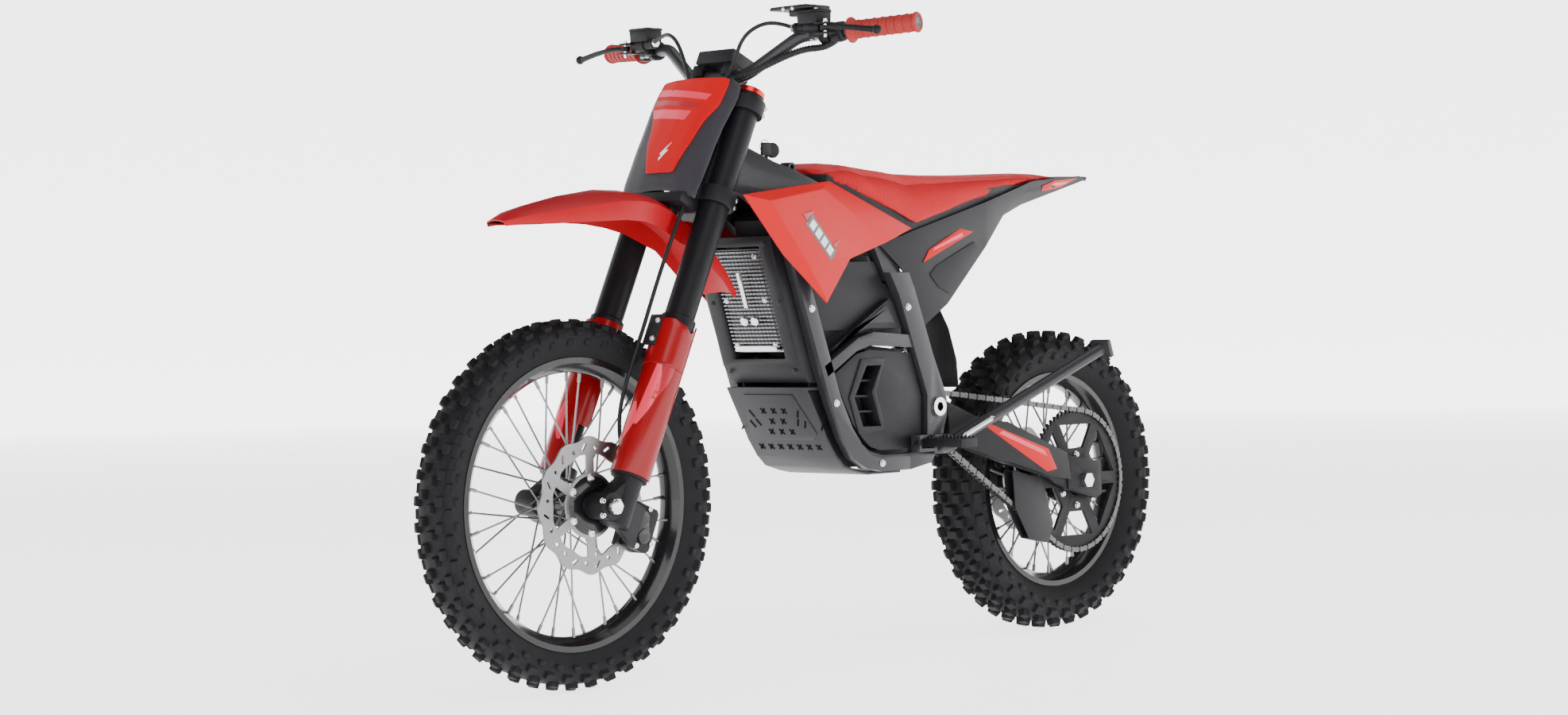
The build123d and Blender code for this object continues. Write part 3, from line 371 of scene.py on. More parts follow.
def repaint(node, mat):
    """New material on a CAD node that keeps its shape."""
    for slot in NODES[node].material_slots:
        slot.material = mat
    if not NODES[node].material_slots:
        NODES[node].data.materials.append(mat)


CAD_MATERIALS = {
    "red_plastic": RED, "red_rubber": GRIP_RED, "seat_cover": SEAT_RED, "black_plastic": PLASTIC,
    "frame_paint": PAINT, "gloss_black": GLOSS_BLACK, "alloy": ALLOY, "bright_steel": STEEL,
    "dark_steel": DARK_STEEL, "tyre_rubber": RUBBER,
}
for part in frame["record"]["subparts"]:
    repaint(part["node"], CAD_MATERIALS[part["material_slot"]])
for node in ("front_disc", "rear_disc"):
    repaint(node, DISC)
repaint("front_fender", FENDER_RED)
repaint("fork_tubes", SATIN_BLACK)

# ---- floor

FLOOR_HALF = 15
floor_bm = bmesh.new()
bmesh.ops.create_grid(floor_bm, x_segments=2, y_segments=2, size=FLOOR_HALF)
FLOOR = material("floor_m", (0.90, 0.90, 0.91), 0.6, grain=0.01, grain_scale=30)
floor_shader = FLOOR.node_tree.nodes["Principled BSDF"]
floor_shader.inputs["Emission Color"].default_value = (1, 1, 1, 1)
floor_shader.inputs["Emission Strength"].default_value = 2.3
floor_mesh = bpy.data.meshes.new("floor")
floor_bm.to_mesh(floor_mesh)
floor_bm.free()
floor = bpy.data.objects.new("floor", floor_mesh)
bpy.context.scene.collection.objects.link(floor)
floor.location.z = -0.001
floor.data.materials.append(FLOOR)

# a low white wall all round, so every view ends in plain white
WALL_R, WALL_HEIGHT = 14.0, 4.2
backdrop_bm = bmesh.new()
wall = [[], []]
for i in range(96):
    a = 2 * pi * i / 96
    for ring, z in zip(wall, (-0.05, WALL_HEIGHT)):
        ring.append(backdrop_bm.verts.new((WALL_R * cos(a), WALL_R * sin(a), z)))
skin(backdrop_bm, *wall)
backdrop_mesh = bpy.data.meshes.new("backdrop")
backdrop_bm.to_mesh(backdrop_mesh)
backdrop_bm.free()
backdrop = bpy.data.objects.new("backdrop", backdrop_mesh)
bpy.context.scene.collection.objects.link(backdrop)
GLOW = bpy.data.materials.new("backdrop_m")
GLOW.use_nodes = True
glow_shader = GLOW.node_tree.nodes["Principled BSDF"]
glow_shader.inputs["Emission Color"].default_value = (1, 1, 1, 1)
glow_shader.inputs["Emission Strength"].default_value = 2.5
backdrop.data.materials.append(GLOW)

# ---- wheels


def knob(bm, centre, angle, r, y, phi, width, length, height):
    """Tread block: angle round the axle, phi its lean from the radial direction."""
    radial = Vector((cos(angle), 0, sin(angle)))
    around = Vector((-sin(angle), 0, cos(angle)))
    up = radial * cos(phi) + ACROSS * sin(phi)
    across = ACROSS * cos(phi) - radial * sin(phi)
    turn = Matrix((around, across, up)).transposed()
    base = centre + radial * r * MM + ACROSS * y * MM
    sunk = 3.0
    middle = base + up * (height - sunk) / 2 * MM
    block(bm, middle, (length, width, height + sunk), turn, 0.84)


def tyre(name, centre, body, carcass, rows, pitches):
    """Carcass from half its profile, with rows of tread blocks mirrored to both sides."""
    bm = bmesh.new()
    profile = carcass + [(r, -y) for r, y in reversed(carcass)]
    profile = [(r, y) for i, (r, y) in enumerate(profile) if i == 0 or (r, y) != profile[i - 1]]
    lathe(bm, profile, centre, ACROSS, 160, True)
    carcass_piece = from_bmesh(name + "_carcass", bm, body, RUBBER, "tyre_rubber", smooth=50)
    bm = bmesh.new()
    for i in range(pitches):
        for r, y, phi, width, length, height, offset in rows:
            for side in ((1, -1) if y else (1,)):
                stagger = 0.5 if side < 0 and offset % 1 == 0.25 else 0
                angle = 2 * pi * (i + offset + stagger) / pitches
                knob(bm, centre, angle, r, side * y, side * radians(phi), width, length, height)
    from_bmesh(name + "_knobs", bm, body, RUBBER, "tyre_rubber", bevel=0.0011, segments=1)
    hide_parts(name)


front_carcass = [(241.6, -21.5), (249, -21.5), (252, -24.5), (256, -26), (266, -31.5), (280, -36.5),
                 (291, -37),
                 (299, -32), (303, -22), (304.5, -10), (305, 0)]
front_rows = [(304.0, 9.5, 3, 14, 17, 10.5, 0.25), (301.0, 25.5, 22, 12.5, 19, 9.5, 0.5),
              (292, 35.2, 58, 14, 20, 7, 0.0),
              (276, 36.3, 84, 12, 15, 2.2, 0.5)]
tyre("front_tyre", FRONT_AXLE, "front_wheel", front_carcass, front_rows, 44)
rear_carcass = [(203.5, -27.5), (212, -27.5), (215, -31), (220, -35), (232, -44), (248, -51), (262, -51.5),
                (272, -45),
                (278, -32), (280.5, -15), (281, 0)]
rear_rows = [(280.5, 0, 0, 26, 19, 14, 0.0), (279.5, 20, 7, 17, 19, 14, 0.5),
             (276.5, 36, 26, 15, 21, 12, 0.0),
             (263, 48, 60, 19, 22, 9, 0.5), (245, 50.5, 84, 14, 17, 2.5, 0.0)]
tyre("rear_tyre", REAR_AXLE, "rear_wheel", rear_carcass, rear_rows, 38)


def rim(node, centre, seat, half):
    """Rim with bead seats at the given radius and half width."""
    outside = [(seat + 8, -half - 2.4), (seat + 9, -half - 1), (seat + 8, -half), (seat + 0.5, -half + 0.8),
               (seat, -half * 0.62),
               (seat - 11, -half * 0.42)]
    shape = outside + [(r, -y) for r, y in reversed(outside)]
    inside = [(seat - 2, half + 2.4), (seat - 6, half * 0.92), (seat - 15.5, half * 0.52),
              (seat - 17.5, half * 0.3)]
    bm = bmesh.new()
    lathe(bm, shape + inside + [(r, -y) for r, y in reversed(inside)], centre, ACROSS, 144, True)
    look(node, bm, GLOSS_BLACK, "gloss_black", smooth=28)


rim("front_rim", FRONT_AXLE, 241.3, 22)
rim("rear_rim", REAR_AXLE, 203.2, 28)


def spokes(node, centre, hub_r, rim_r, hub_y, rim_y, radius):
    """Crossed wires with their nipples and hub heads."""
    lean = radians(52)
    wires = bmesh.new()
    for i in range(36):
        side = 1 if i % 2 else -1
        step = (i // 2) % 2
        at_rim = 2 * pi * i / 36
        at_hub = at_rim + (lean if step else -lean)
        a = centre + Vector((hub_r * cos(at_hub), side * (hub_y + (3.2 if step else -3.2)),
                             hub_r * sin(at_hub))) * MM
        b = centre + Vector((rim_r * cos(at_rim), side * (rim_y + (2.6 if step else -2.6)),
                             rim_r * sin(at_rim))) * MM
        bar(wires, a, b, radius, 10)
        way = (b - a).normalized()
        bar(wires, b - way * 0.020, b - way * 0.002, radius * 1.75, 8)
        lathe(wires, [(radius * 2, -2.4), (radius * 2, 2.4)], a, ACROSS, 12, False)
    look(node, wires, SPOKE_STEEL, "bright_steel", smooth=50)


spokes("front_spokes", FRONT_AXLE, 33, 229.3, 30, 5, 1.7)
spokes("rear_spokes", REAR_AXLE, 37, 191.2, 30, 6, 2.0)

# ---- wave discs


def pierced(bm, loops, place, low, high):
    """Flat plate from an outline and its holes, each a ring of (a, b) pairs in mm."""
    flat = [Vector((a, b, 0)) for loop in loops for a, b in loop]
    faces = tessellate_polygon([[Vector((a, b, 0)) for a, b in loop] for loop in loops])
    bottom = [bm.verts.new(place(p.x, p.y, low)) for p in flat]
    top = [bm.verts.new(place(p.x, p.y, high)) for p in flat]
    for tri in faces:
        bm.faces.new([bottom[i] for i in tri])
        bm.faces.new([top[i] for i in reversed(tri)])
    start = 0
    for loop in loops:
        end = start + len(loop)
        skin(bm, bottom[start:end], top[start:end])
        start = end
    bmesh.ops.recalc_face_normals(bm, faces=bm.faces)


def ring_points(radius_at, a0, a1, steps):
    """Points of a closed or open curve given by its radius, from angle a0 to a1."""
    angles = [a0 + (a1 - a0) * i / steps for i in range(steps + 1)]
    return [(radius_at(a) * cos(a), radius_at(a) * sin(a)) for a in angles]


def wave_disc(node, centre, y, outer, inner, lobes, arms, bolt_r, half):
    """Brake rotor: wavy ring with slanted slots, on arms that reach the hub bolts."""
    wave = 3.2
    ring_in = outer - 31

    def outside(a):
        return outer - wave + wave * cos(lobes * a)

    def window_top(a):
        return ring_in - 1.6 * cos(lobes * a)

    loops = [ring_points(outside, 0, 2 * pi, 20 * lobes)[:-1],
             ring_points(lambda a: inner, 0, 2 * pi, 60)[:-1]]
    for i in range(arms):
        a0, a1 = 2 * pi * (i + 0.5) / arms, 2 * pi * (i + 1.5) / arms
        low_r = bolt_r + 10
        top_cut, low_cut = 8.0 / ring_in, 8.5 / low_r
        window = ring_points(window_top, a0 + top_cut, a1 - top_cut, 14)
        window += ring_points(lambda a: low_r, a1 - low_cut, a0 + low_cut, 8)
        loops.append(window)
    for i in range(2 * lobes):
        a = 2 * pi * (i + 0.5) / (2 * lobes)
        r = outer - (17 if i % 2 else 20)
        tilt = a + (0.7 if i % 2 else -0.7)
        long, wide = (7.4, 2.8) if i % 2 else (4.0, 2.9)
        cx, cz = r * cos(a), r * sin(a)
        slot_loop = []
        for j in range(12):
            t = 2 * pi * j / 12
            u = long * (1 if cos(t) > 0 else -1) * min(1, abs(cos(t)) * 1.4)
            v = wide * (1 if sin(t) > 0 else -1) * min(1, abs(sin(t)) * 1.4)
            slot_loop.append((cx + u * cos(tilt) - v * sin(tilt), cz + u * sin(tilt) + v * cos(tilt)))
        loops.append(slot_loop)
    bm = bmesh.new()
    pierced(bm, loops, lambda a, b, c: centre + mm(a, c, b), y - half, y + half)
    look(node, bm, DISC, "bright_steel", smooth=30)


wave_disc("front_disc", FRONT_AXLE, 56, 117, 40, 12, 6, 46, 2)
wave_disc("rear_disc", REAR_AXLE, -60, 105, 34, 10, 5, 42, 2)

# ---- CAD shapes that only need softer edges

for node, mat, width, slot in (
        ("left_shroud", RED, 0.0035, "red_plastic"), ("right_shroud", RED, 0.0035, "red_plastic"),
        ("left_side_panel", PLASTIC, 0.0025, "black_plastic"),
        ("right_side_panel", PLASTIC, 0.0025, "black_plastic"),
        ("front_fender", FENDER_RED, 0.002, "red_plastic"), ("fork_guards", GLOSS_RED, 0.0012, "red_plastic"),
        ("frame", PAINT, 0.0025, "frame_paint"), ("side_covers", PLASTIC, 0.0022, "black_plastic"),
        ("controller_cover", PLASTIC, 0.004, "black_plastic"), ("swingarm", CAST, 0.003, "frame_paint"),
        ("lower_clamp", CAST, 0.0025, "frame_paint"), ("top_clamp", CAST, 0.002, "frame_paint"),
        ("dash", PLASTIC, 0.004, "black_plastic"), ("chain_guide", PLASTIC, 0.0012, "black_plastic"),
        ("front_caliper", CAST, 0.002, "frame_paint"), ("rear_caliper", CAST, 0.002, "frame_paint"),
        ("battery", PLASTIC, 0.003, "black_plastic"), ("kickstand", PAINT, 0.0015, "frame_paint"),
        ("left_peg", CAST, 0.001, "frame_paint"), ("right_peg", CAST, 0.001, "frame_paint"),
        ("mudflap", PLASTIC, 0.001, "black_plastic"), ("motor", CAST, 0.003, "frame_paint"),
        ("rear_sprocket", CAST, 0.0006, "dark_steel"), ("fork_sliders", CAST, 0.0015, "gloss_black")):
    rounded_copy(node, mat, width, slot)

# ---- chain

PITCH = 12.7
BIG_TEETH, SMALL_TEETH = 68, 15
BIG_R, SMALL_R = PITCH * BIG_TEETH / (2 * pi), PITCH * SMALL_TEETH / (2 * pi)
pull = (BIG_R - SMALL_R) / ((PIVOT - REAR_AXLE).length / MM)
centre_angle = atan2(PIVOT.z - REAR_AXLE.z, PIVOT.x - REAR_AXLE.x)
upper = centre_angle + (pi / 2 - asin(pull))
lower = centre_angle - (pi / 2 - asin(pull))
CHAIN_MID_Y = 80 * MM


def round_point(centre, radius, angle):
    return Vector((centre.x + radius * MM * cos(angle), CHAIN_MID_Y, centre.z + radius * MM * sin(angle)))


loop = []
for k in range(41):
    loop.append(round_point(PIVOT, SMALL_R, lower + (upper - lower) * k / 40))
for k in range(121):
    loop.append(round_point(REAR_AXLE, BIG_R, upper + (2 * pi - (upper - lower)) * k / 120))
loop.append(loop[0])
lengths = [0.0]
for a, b in zip(loop, loop[1:]):
    lengths.append(lengths[-1] + (b - a).length)


def on_loop(distance):
    """Point at a distance along the chain's loop."""
    distance %= lengths[-1]
    k = max(i for i, d in enumerate(lengths[:-1]) if d <= distance)
    span = lengths[k + 1] - lengths[k]
    return loop[k].lerp(loop[k + 1], (distance - lengths[k]) / span if span else 0)


links = 2 * round(lengths[-1] / (PITCH * MM) / 2)
step = lengths[-1] / links
bm = bmesh.new()
for i in range(links):
    a, b = on_loop(i * step), on_loop((i + 1) * step)
    along = (b - a).normalized()
    up = along.cross(ACROSS).normalized()
    offset = 6.0 if i % 2 else 4.2
    outline = []
    for k in range(16):
        t = 2 * pi * k / 16
        end = 1 if cos(t) > 0 else -1
        waist = 5.6 if abs(cos(t)) > 0.3 else 3.9
        outline.append((end * 6.35 * (1 if abs(cos(t)) > 0.15 else 0.2) + waist * cos(t) * 0.9,
                        waist * sin(t)))
    middle = (a + b) / 2
    for side in (1, -1):
        low = side * offset

        def place(p, q, c, middle=middle, along=along, up=up):
            return middle + (along * p + up * q + ACROSS * c) * MM
        prism(bm, outline, low - 0.7, low + 0.7, place)
    lathe(bm, [(4.0, -3.4), (4.0, 3.4)], a, ACROSS, 12, False)
    lathe(bm, [(1.9, -7.3), (2.0, -7.0), (2.0, 7.0), (1.9, 7.3)], a, ACROSS, 10, False)
look("chain", bm, DARK_STEEL, "dark_steel")

# ---- handlebar, grips, levers, controls

BAR_END = mm(144, 384, 1128)
BAR_KNEE = mm(206, 165, 1117)
BAR_OUT = (BAR_END - BAR_KNEE).normalized()


def bar_at(distance, side):
    """Place on the bar at a distance in mm from its end, and the direction outwards."""
    p = BAR_END - BAR_OUT * distance * MM
    return Vector((p.x, side * p.y, p.z)), Vector((BAR_OUT.x, side * BAR_OUT.y, BAR_OUT.z))


for side, node in ((1, "left_grip"), (-1, "throttle_grip")):
    root, out = bar_at(128, side)
    bm = bmesh.new()
    profile = [(11.2, 0), (17, 0), (22.5, 0.6), (23, 3), (22, 5.5), (17.6, 8), (16.4, 12)]
    for k in range(7):
        at = 15 + k * 15.6
        profile += [(15.0, at), (16.9, at + 0.8), (16.9, at + 3.4), (15.9, at + 4.2), (15.9, at + 13.6),
                    (15.0, at + 14.2)]
    profile += [(15.4, 125), (18, 127), (18.2, 130), (16.5, 132), (11.2, 132)]
    lathe(bm, profile, root, out, 40, True)
    look(node, bm, GRIP_RED, "red_rubber", smooth=32)
    bm = bmesh.new()
    lathe(bm, [(11.0, 126), (11.0, 131.2), (9, 131.8), (7, 131.2)], root, out, 24, False)
    from_bmesh(node + "_bar_plug", bm, "steering", PAINT, "frame_paint")

for side, tag in SIDES:
    centre, out = bar_at(176, side)
    bm = bmesh.new()

    def at(x, y, z, centre=centre, side=side):
        return centre + mm(x, side * y, z)
    lathe(bm, [(11.2, -9), (17.5, -9), (18, -8), (18, 8), (17.5, 9), (11.2, 9)], centre, out, 32, True)
    block(bm, at(18, 0, 4), (30, 22, 26))
    bar(bm, at(34, 22, 6), at(36, -12, 8), 11, 24)
    bar(bm, at(36, -12, 8), at(38, -30, 9), 9, 24, radius_b=8)
    bar(bm, at(38, -30, 9), at(39, -37, 9.4), 10.5, 6)
    block(bm, at(28, -2, 24), (36, 46, 20), taper=1.04)
    block(bm, at(28, -2, 36.5), (40, 50, 5), taper=0.96)
    for z in (-2.6, 14.6):
        block(bm, at(37, 32, z - 2), (26, 30, 3.2))
    block(bm, at(24, -2, 12), (30, 40, 10))
    piece = from_bmesh(tag + "_master", bm, "steering", CAST, "black_plastic", bevel=0.0016)
    bm = bmesh.new()
    for x, y in ((14, -20), (42, 16)):
        bolt(bm, at(x, y, 38.6), (0, 0, 1), 2.6, 1.8)
    bolt(bm, at(42, 38, 13.6), (0, 0, 1), 4.0, 3.2)
    lathe(bm, [(3, -16), (3, 16)], at(42, 38, 4), (0, 0, 1), 12, False)
    for y in (-6, 6):
        bolt(bm, at(30, y, 19) - mm(0, 0, 31), (0.2, 0, -1), 3.0, 3.0)
    hexagon(bm, at(39, -37, 9.4), (0.1, -side, 0.05), 8, 6)
    from_bmesh(tag + "_master_bolts", bm, "steering", STEEL, "bright_steel")
    if side > 0:
        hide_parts("master_cylinders")
    # lever blade
    bm = bmesh.new()
    pivot = at(42, 38, 4)
    route = [(42, 38, 4), (50, 60, 4), (52, 84, 2), (50, 110, -1), (47, 136, -5), (43, 158, -8)]
    halfs = [(8.5, 4.3), (6.2, 4.3), (5.2, 4.6), (5.0, 5.0), (5.2, 5.2), (6.4, 5.8)]
    rings = []
    for (x, y, z), (w, h) in zip(route, halfs):
        ring = []
        for k in range(12):
            t = 2 * pi * k / 12
            ring.append(bm.verts.new(at(x + w * cos(t), y, z + h * sin(t))))
        rings.append(ring)
    for a, b in zip(rings, rings[1:]):
        skin(bm, a, b)
    bm.faces.new(rings[0])
    bm.faces.new(rings[-1][::-1])
    bmesh.ops.create_uvsphere(bm, u_segments=20, v_segments=12, radius=8 * MM,
                              matrix=Matrix.Translation(at(44, 160, -8)))
    lathe(bm, [(3.1, -4.4), (8.5, -4.4), (8.5, 4.4), (3.1, 4.4)], pivot, (0, 0, 1), 24, True)
    bmesh.ops.recalc_face_normals(bm, faces=bm.faces)
    look(tag + "_brake_lever", bm, CAST, "frame_paint", smooth=50)
    # switch pod beside the grip
    pod, out = bar_at(147, side)
    bm = bmesh.new()
    lathe(bm, [(11.2, -9), (16, -9), (17.5, -7), (17.5, 7), (16, 9), (11.2, 9)], pod, out, 28, True)
    block(bm, pod + mm(10, 0, -12), (16, 16, 14))
    from_bmesh(tag + "_switch_pod", bm, "steering", PLASTIC, "black_plastic", bevel=0.0014)

# display on the left master cylinder
bm = bmesh.new()
block(bm, mm(216, 176, 1164), (62, 90, 6.5), taper=0.97)
block(bm, mm(214, 178, 1156), (30, 34, 12))
from_bmesh("display_case", bm, "steering", PLASTIC, "black_plastic", bevel=0.0018)
bm = bmesh.new()
block(bm, mm(216, 176, 1167.5), (50, 76, 0.8))
from_bmesh("display_glass", bm, "steering", GLASS, "black_plastic", bevel=0.0003)
bm = bmesh.new()
for y in (166, 188):
    bolt(bm, mm(247, y, 1162), (1, 0, 0.1), 3, 2)
from_bmesh("display_screws", bm, "steering", STEEL, "bright_steel")

# dash top: dark panel
dash_top = fork_point(827 + 32.2, LEG_N - 2)
bm = bmesh.new()
block(bm, dash_top + FORK_UP * 18.4 * MM, (32, 52, 1.2), FORK_TURN)
from_bmesh("dash_panel", bm, "steering", GLASS, "black_plastic", bevel=0.0004)

# ---- hoses and loom


def sample_route(points):
    """Points of a smooth curve through a route given in millimetres."""
    curve = bpy.data.curves.new("route", "CURVE")
    curve.dimensions = "3D"
    spline = curve.splines.new("NURBS")
    spline.points.add(len(points) - 1)
    for point, p in zip(spline.points, points):
        point.co = (p[0] * MM, p[1] * MM, p[2] * MM, 1)
    spline.order_u = 3
    spline.use_endpoint_u = True
    spline.resolution_u = 12
    obj = bpy.data.objects.new("route", curve)
    mesh = bpy.data.meshes.new_from_object(obj)
    line = [v.co.copy() for v in mesh.vertices]
    bpy.data.objects.remove(obj)
    return line


def swept(bm, line, radius_of, segments=12, spacing=0.002):
    """Round tube along a line whose radius changes with distance."""
    total, resampled = [0.0], []
    for a, b in zip(line, line[1:]):
        total.append(total[-1] + (b - a).length)
    count = max(2, int(total[-1] / spacing))
    k = 0
    for i in range(count + 1):
        d = total[-1] * i / count
        while k < len(total) - 2 and total[k + 1] < d:
            k += 1
        span = total[k + 1] - total[k]
        resampled.append((d, line[k].lerp(line[k + 1], (d - total[k]) / span if span else 0)))
    normal = None
    rings = []
    for i, (d, p) in enumerate(resampled):
        ahead = resampled[min(i + 1, count)][1] - resampled[max(i - 1, 0)][1]
        ahead.normalize()
        if normal is None:
            normal = ahead.orthogonal().normalized()
        normal = (normal - ahead * normal.dot(ahead)).normalized()
        other = ahead.cross(normal)
        r = radius_of(d) * MM
        turns = [2 * pi * j / segments for j in range(segments)]
        rings.append([bm.verts.new(p + (normal * cos(t) + other * sin(t)) * r) for t in turns])
    for a, b in zip(rings, rings[1:]):
        skin(bm, a, b)
    bm.faces.new(rings[0][::-1])
    bm.faces.new(rings[-1])


FRONT_HOSE = [
    (234, -175, 1130), (242, -146, 1140), (254, -112, 1139), (266, -78, 1118),
    fork_mm(832, -3, -54), fork_mm(800, -2, -32), fork_mm(766, -3, -4), fork_mm(722, -2, 20),
    fork_mm(674, 0, 38),
    fork_mm(622, 4, 52), fork_mm(566, 8, 62), fork_mm(508, 14, 66), fork_mm(446, 17, 66),
    fork_mm(384, 15, 64),
    fork_mm(322, 11, 61), fork_mm(262, 8, 57), fork_mm(204, 2, 51), fork_mm(158, -12, 46),
    fork_mm(118, -38, 44),
    fork_mm(84, -64, 46), fork_mm(62, -84, 50),
]
REAR_HOSE = [
    (234, 175, 1130), (240, 146, 1141), (252, 112, 1140), (265, 80, 1118),
    fork_mm(834, -5, 60), fork_mm(802, -5, 46), fork_mm(766, -9, 32), fork_mm(724, -14, 22),
    fork_mm(680, -16, 15), fork_mm(636, -20, 12),
]
LOOM = [
    (187, 240, 1109), (191, 222, 1098), (198, 202, 1094), (206, 180, 1094), (222, 148, 1084),
    (246, 110, 1064), (270, 76, 1048),
    fork_mm(800, -8, 28), fork_mm(764, -14, 4), fork_mm(722, -14, -8), fork_mm(678, -15, -14),
    fork_mm(636, -20, -12),
]
bm = bmesh.new()
swept(bm, sample_route(FRONT_HOSE), lambda d: 3.6, 12, 0.006)
hose = from_bmesh("front_hose_look", bm, None, HOSE, "black_plastic", smooth=60)
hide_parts("front_brake_hose")
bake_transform(hose)
bm = bmesh.new()
swept(bm, sample_route(REAR_HOSE), lambda d: 3.5, 12, 0.006)
swept(bm, sample_route(LOOM), lambda d: 6.4 if int(d / 0.0026) % 2 else 5.2, 14, 0.0013)
cables = from_bmesh("bar_cables_look", bm, None, HOSE, "black_plastic", smooth=60)
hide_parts("bar_cables")
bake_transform(cables)

# ---- sheets, and the number plate made of them


def sheet_piece(name, rows, thickness, body, mat, slot, bevel=0.0, offset=-1):
    """Thin moulded sheet through rows of points in mm, thickened and rounded at its rim."""
    bm = bmesh.new()
    grid = [[bm.verts.new(Vector(p) * MM) for p in row] for row in rows]
    for a, b in zip(grid, grid[1:]):
        for i in range(len(a) - 1):
            bm.faces.new((a[i], a[i + 1], b[i + 1], b[i]))
    obj = from_bmesh(name, bm, body, mat, slot)
    solid = obj.modifiers.new("thick", "SOLIDIFY")
    solid.thickness = thickness * MM
    solid.offset = offset
    apply_modifiers(obj)
    if bevel:
        round_edges(obj, bevel * MM, 2, 40)
    shade(obj, 38)
    return obj


def lerp_table(table, x):
    """Straight-line lookup in (x, value) pairs sorted by x."""
    if x <= table[0][0]:
        return table[0][1]
    for (x0, v0), (x1, v1) in zip(table, table[1:]):
        if x <= x1:
            return v0 + (v1 - v0) * (x - x0) / (x1 - x0)
    return table[-1][1]


# number plate: black shell and red panel
PLATE_BASE = [(560, 17), (578, 20), (607, 22), (660, 22), (740, 16), (802, 9)]
PLATE_LIFT = [(0, 7), (44, 5.5), (84, -3), (92, -8), (108, -15)]


def plate_point(s, y, lift=0.0):
    """Place on the curved plate, in mm, at a height along the fork and a distance sideways."""
    drop = 0.55 + 0.45 * min(1, max(0, (s - 580) / 60))
    n = lerp_table(PLATE_BASE, s) + lerp_table(PLATE_LIFT, abs(y)) * drop + lift
    return fork_mm(s, n, y)


def plate_rows(edges, lift, columns=16, bow=None):
    """Rows across the plate; edges gives the half width at each height."""
    rows = []
    for s, half in edges:
        row = []
        for i in range(columns + 1):
            y = half * (2 * i / columns - 1)
            sag = bow(s, y / half) if bow else 0
            row.append(plate_point(s + sag, y, lift))
        rows.append(row)
    return rows


shell_edges = [(800, 84), (794, 94), (786, 102), (765, 105), (745, 104), (700, 99), (662, 98), (630, 97),
               (600, 96),
               (584, 94), (572, 92)]


def shell_bow(s, share):
    """Arch of the shell's lower edge."""
    low = max(0.0, (612 - s) / 40)
    return low * (14 * (1 - share * share) - 8)


black_rows = plate_rows(shell_edges, 0, 24, shell_bow)
# the shell's lighter black base colour is painted sheen
shell = sheet_piece("plate_shell", black_rows, 3.2, "steering", SHELL_BLACK_WITH_SHEEN, "black_plastic", bevel=1.0)
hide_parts("number_plate")
panel_edges = [(799, 74), (796, 82), (788, 84), (770, 84), (744, 83), (728, 74), (712, 65), (690, 59),
               (664, 53), (655, 49),
               (630, 40), (612, 34), (609, 32)]
sheet_piece("plate_panel", plate_rows(panel_edges, 3.4, 20), 3.4, "steering", RED, "red_plastic", bevel=1.0)
PINK = material("decal_pink_m", (0.66, 0.035, 0.070), 0.3, coat=0.3, grain=0.02)
# deep red serves the printed stripes, and also the painted shade of the shroud dents
DEEP_RED = material("deep_red_decal_and_dent_shade_m", (0.30, 0.012, 0.02), 0.3, coat=0.3, grain=0.02)
DECAL_GREY = material("decal_grey_m", (0.10, 0.095, 0.10), 0.35, grain=0.05)


def in_quad(corners, u, v):
    """Point inside four corners: u along the sides 0-1 and 3-2, v from the first to the second."""
    (a0, b0), (a1, b1), (a2, b2), (a3, b3) = corners
    return ((a0 + (a1 - a0) * u) * (1 - v) + (a3 + (a2 - a3) * u) * v,
            (b0 + (b1 - b0) * u) * (1 - v) + (b3 + (b2 - b3) * u) * v)


def plate_decal(name, corners, lift, mat, steps=10):
    """Slanted stripe on the plate: four (s, y) corners, two along each long side."""
    rows = []
    for v in (0, 0.5, 1):
        across = [in_quad(corners, i / steps, v) for i in range(steps + 1)]
        rows.append([plate_point(s, y, lift) for s, y in across])
    sheet_piece(name, rows, 0.25, "steering", mat, "red_plastic", offset=0)


plate_decal("plate_stripe_1", [(784, -80), (764, 60), (752, 52), (770, -82)], 7.0, PINK)
plate_decal("plate_stripe_2", [(762, -82), (745, 44), (738, 38), (750, -82)], 7.0, DEEP_RED)
plate_decal("plate_stripe_3", [(742, -80), (730, 30), (712, 20), (722, -68)], 7.0, PINK)
plate_decal("plate_mark_1", [(668, 12), (645, -10), (641, -4), (655, 4)], 7.05, WHITE, 2)
plate_decal("plate_mark_2", [(652, 9), (632, -8), (636, -10), (652, 2)], 7.05, WHITE, 2)
bm = bmesh.new()
for y in (-70, 70):
    p = Vector(plate_point(590, y, 0.5)) * MM
    bolt(bm, p, FORK_AHEAD, 3.2, 2.0)
from_bmesh("plate_screws", bm, "steering", STEEL, "bright_steel")

# ---- decals, and painted shade for the dents, on the flat facets


def facet_patch(name, corners, lift, thickness, body, mat, slot, side=1, bevel=0.0):
    """Thin patch over a facet: corners in mm on the facet, moved out along its normal."""
    pts = [mm(x, side * y, z) for x, y, z in corners]
    normal = (pts[1] - pts[0]).cross(pts[2] - pts[0]).normalized()
    if normal.y * side < 0:
        normal = -normal
    bm = bmesh.new()
    low = [bm.verts.new(p + normal * (lift - thickness) * MM) for p in pts]
    high = [bm.verts.new(p + normal * lift * MM) for p in pts]
    bm.faces.new(low)
    bm.faces.new(high[::-1])
    skin(bm, high, low)
    bmesh.ops.recalc_face_normals(bm, faces=bm.faces)
    from_bmesh(name, bm, body, mat, slot, bevel=bevel)


def on_plane(a, b, c, x, z):
    """Point of the plane through three points at a given x and z."""
    a, b, c = Vector(a), Vector(b), Vector(c)
    n = (b - a).cross(c - a)
    return (x, a.y - (n.x * (x - a.x) + n.z * (z - a.z)) / n.y, z)


# three corners of each flat facet that carries a decal
SHROUD_FACET = ((287, 165, 829), (195, 162, 722), (61, 142, 728))
PANEL_FACET = ((-142, 113, 781), (-359, 102, 752), (-242, 106, 645))
TAIL_FACET = ((-613, 76, 888), (-700, 58, 895), (-515, 60, 835))


def patch_xz(facet, outline):
    """Outline of (x, z) pairs laid on the plane of a facet."""
    return [on_plane(*facet, x, z) for x, z in outline]


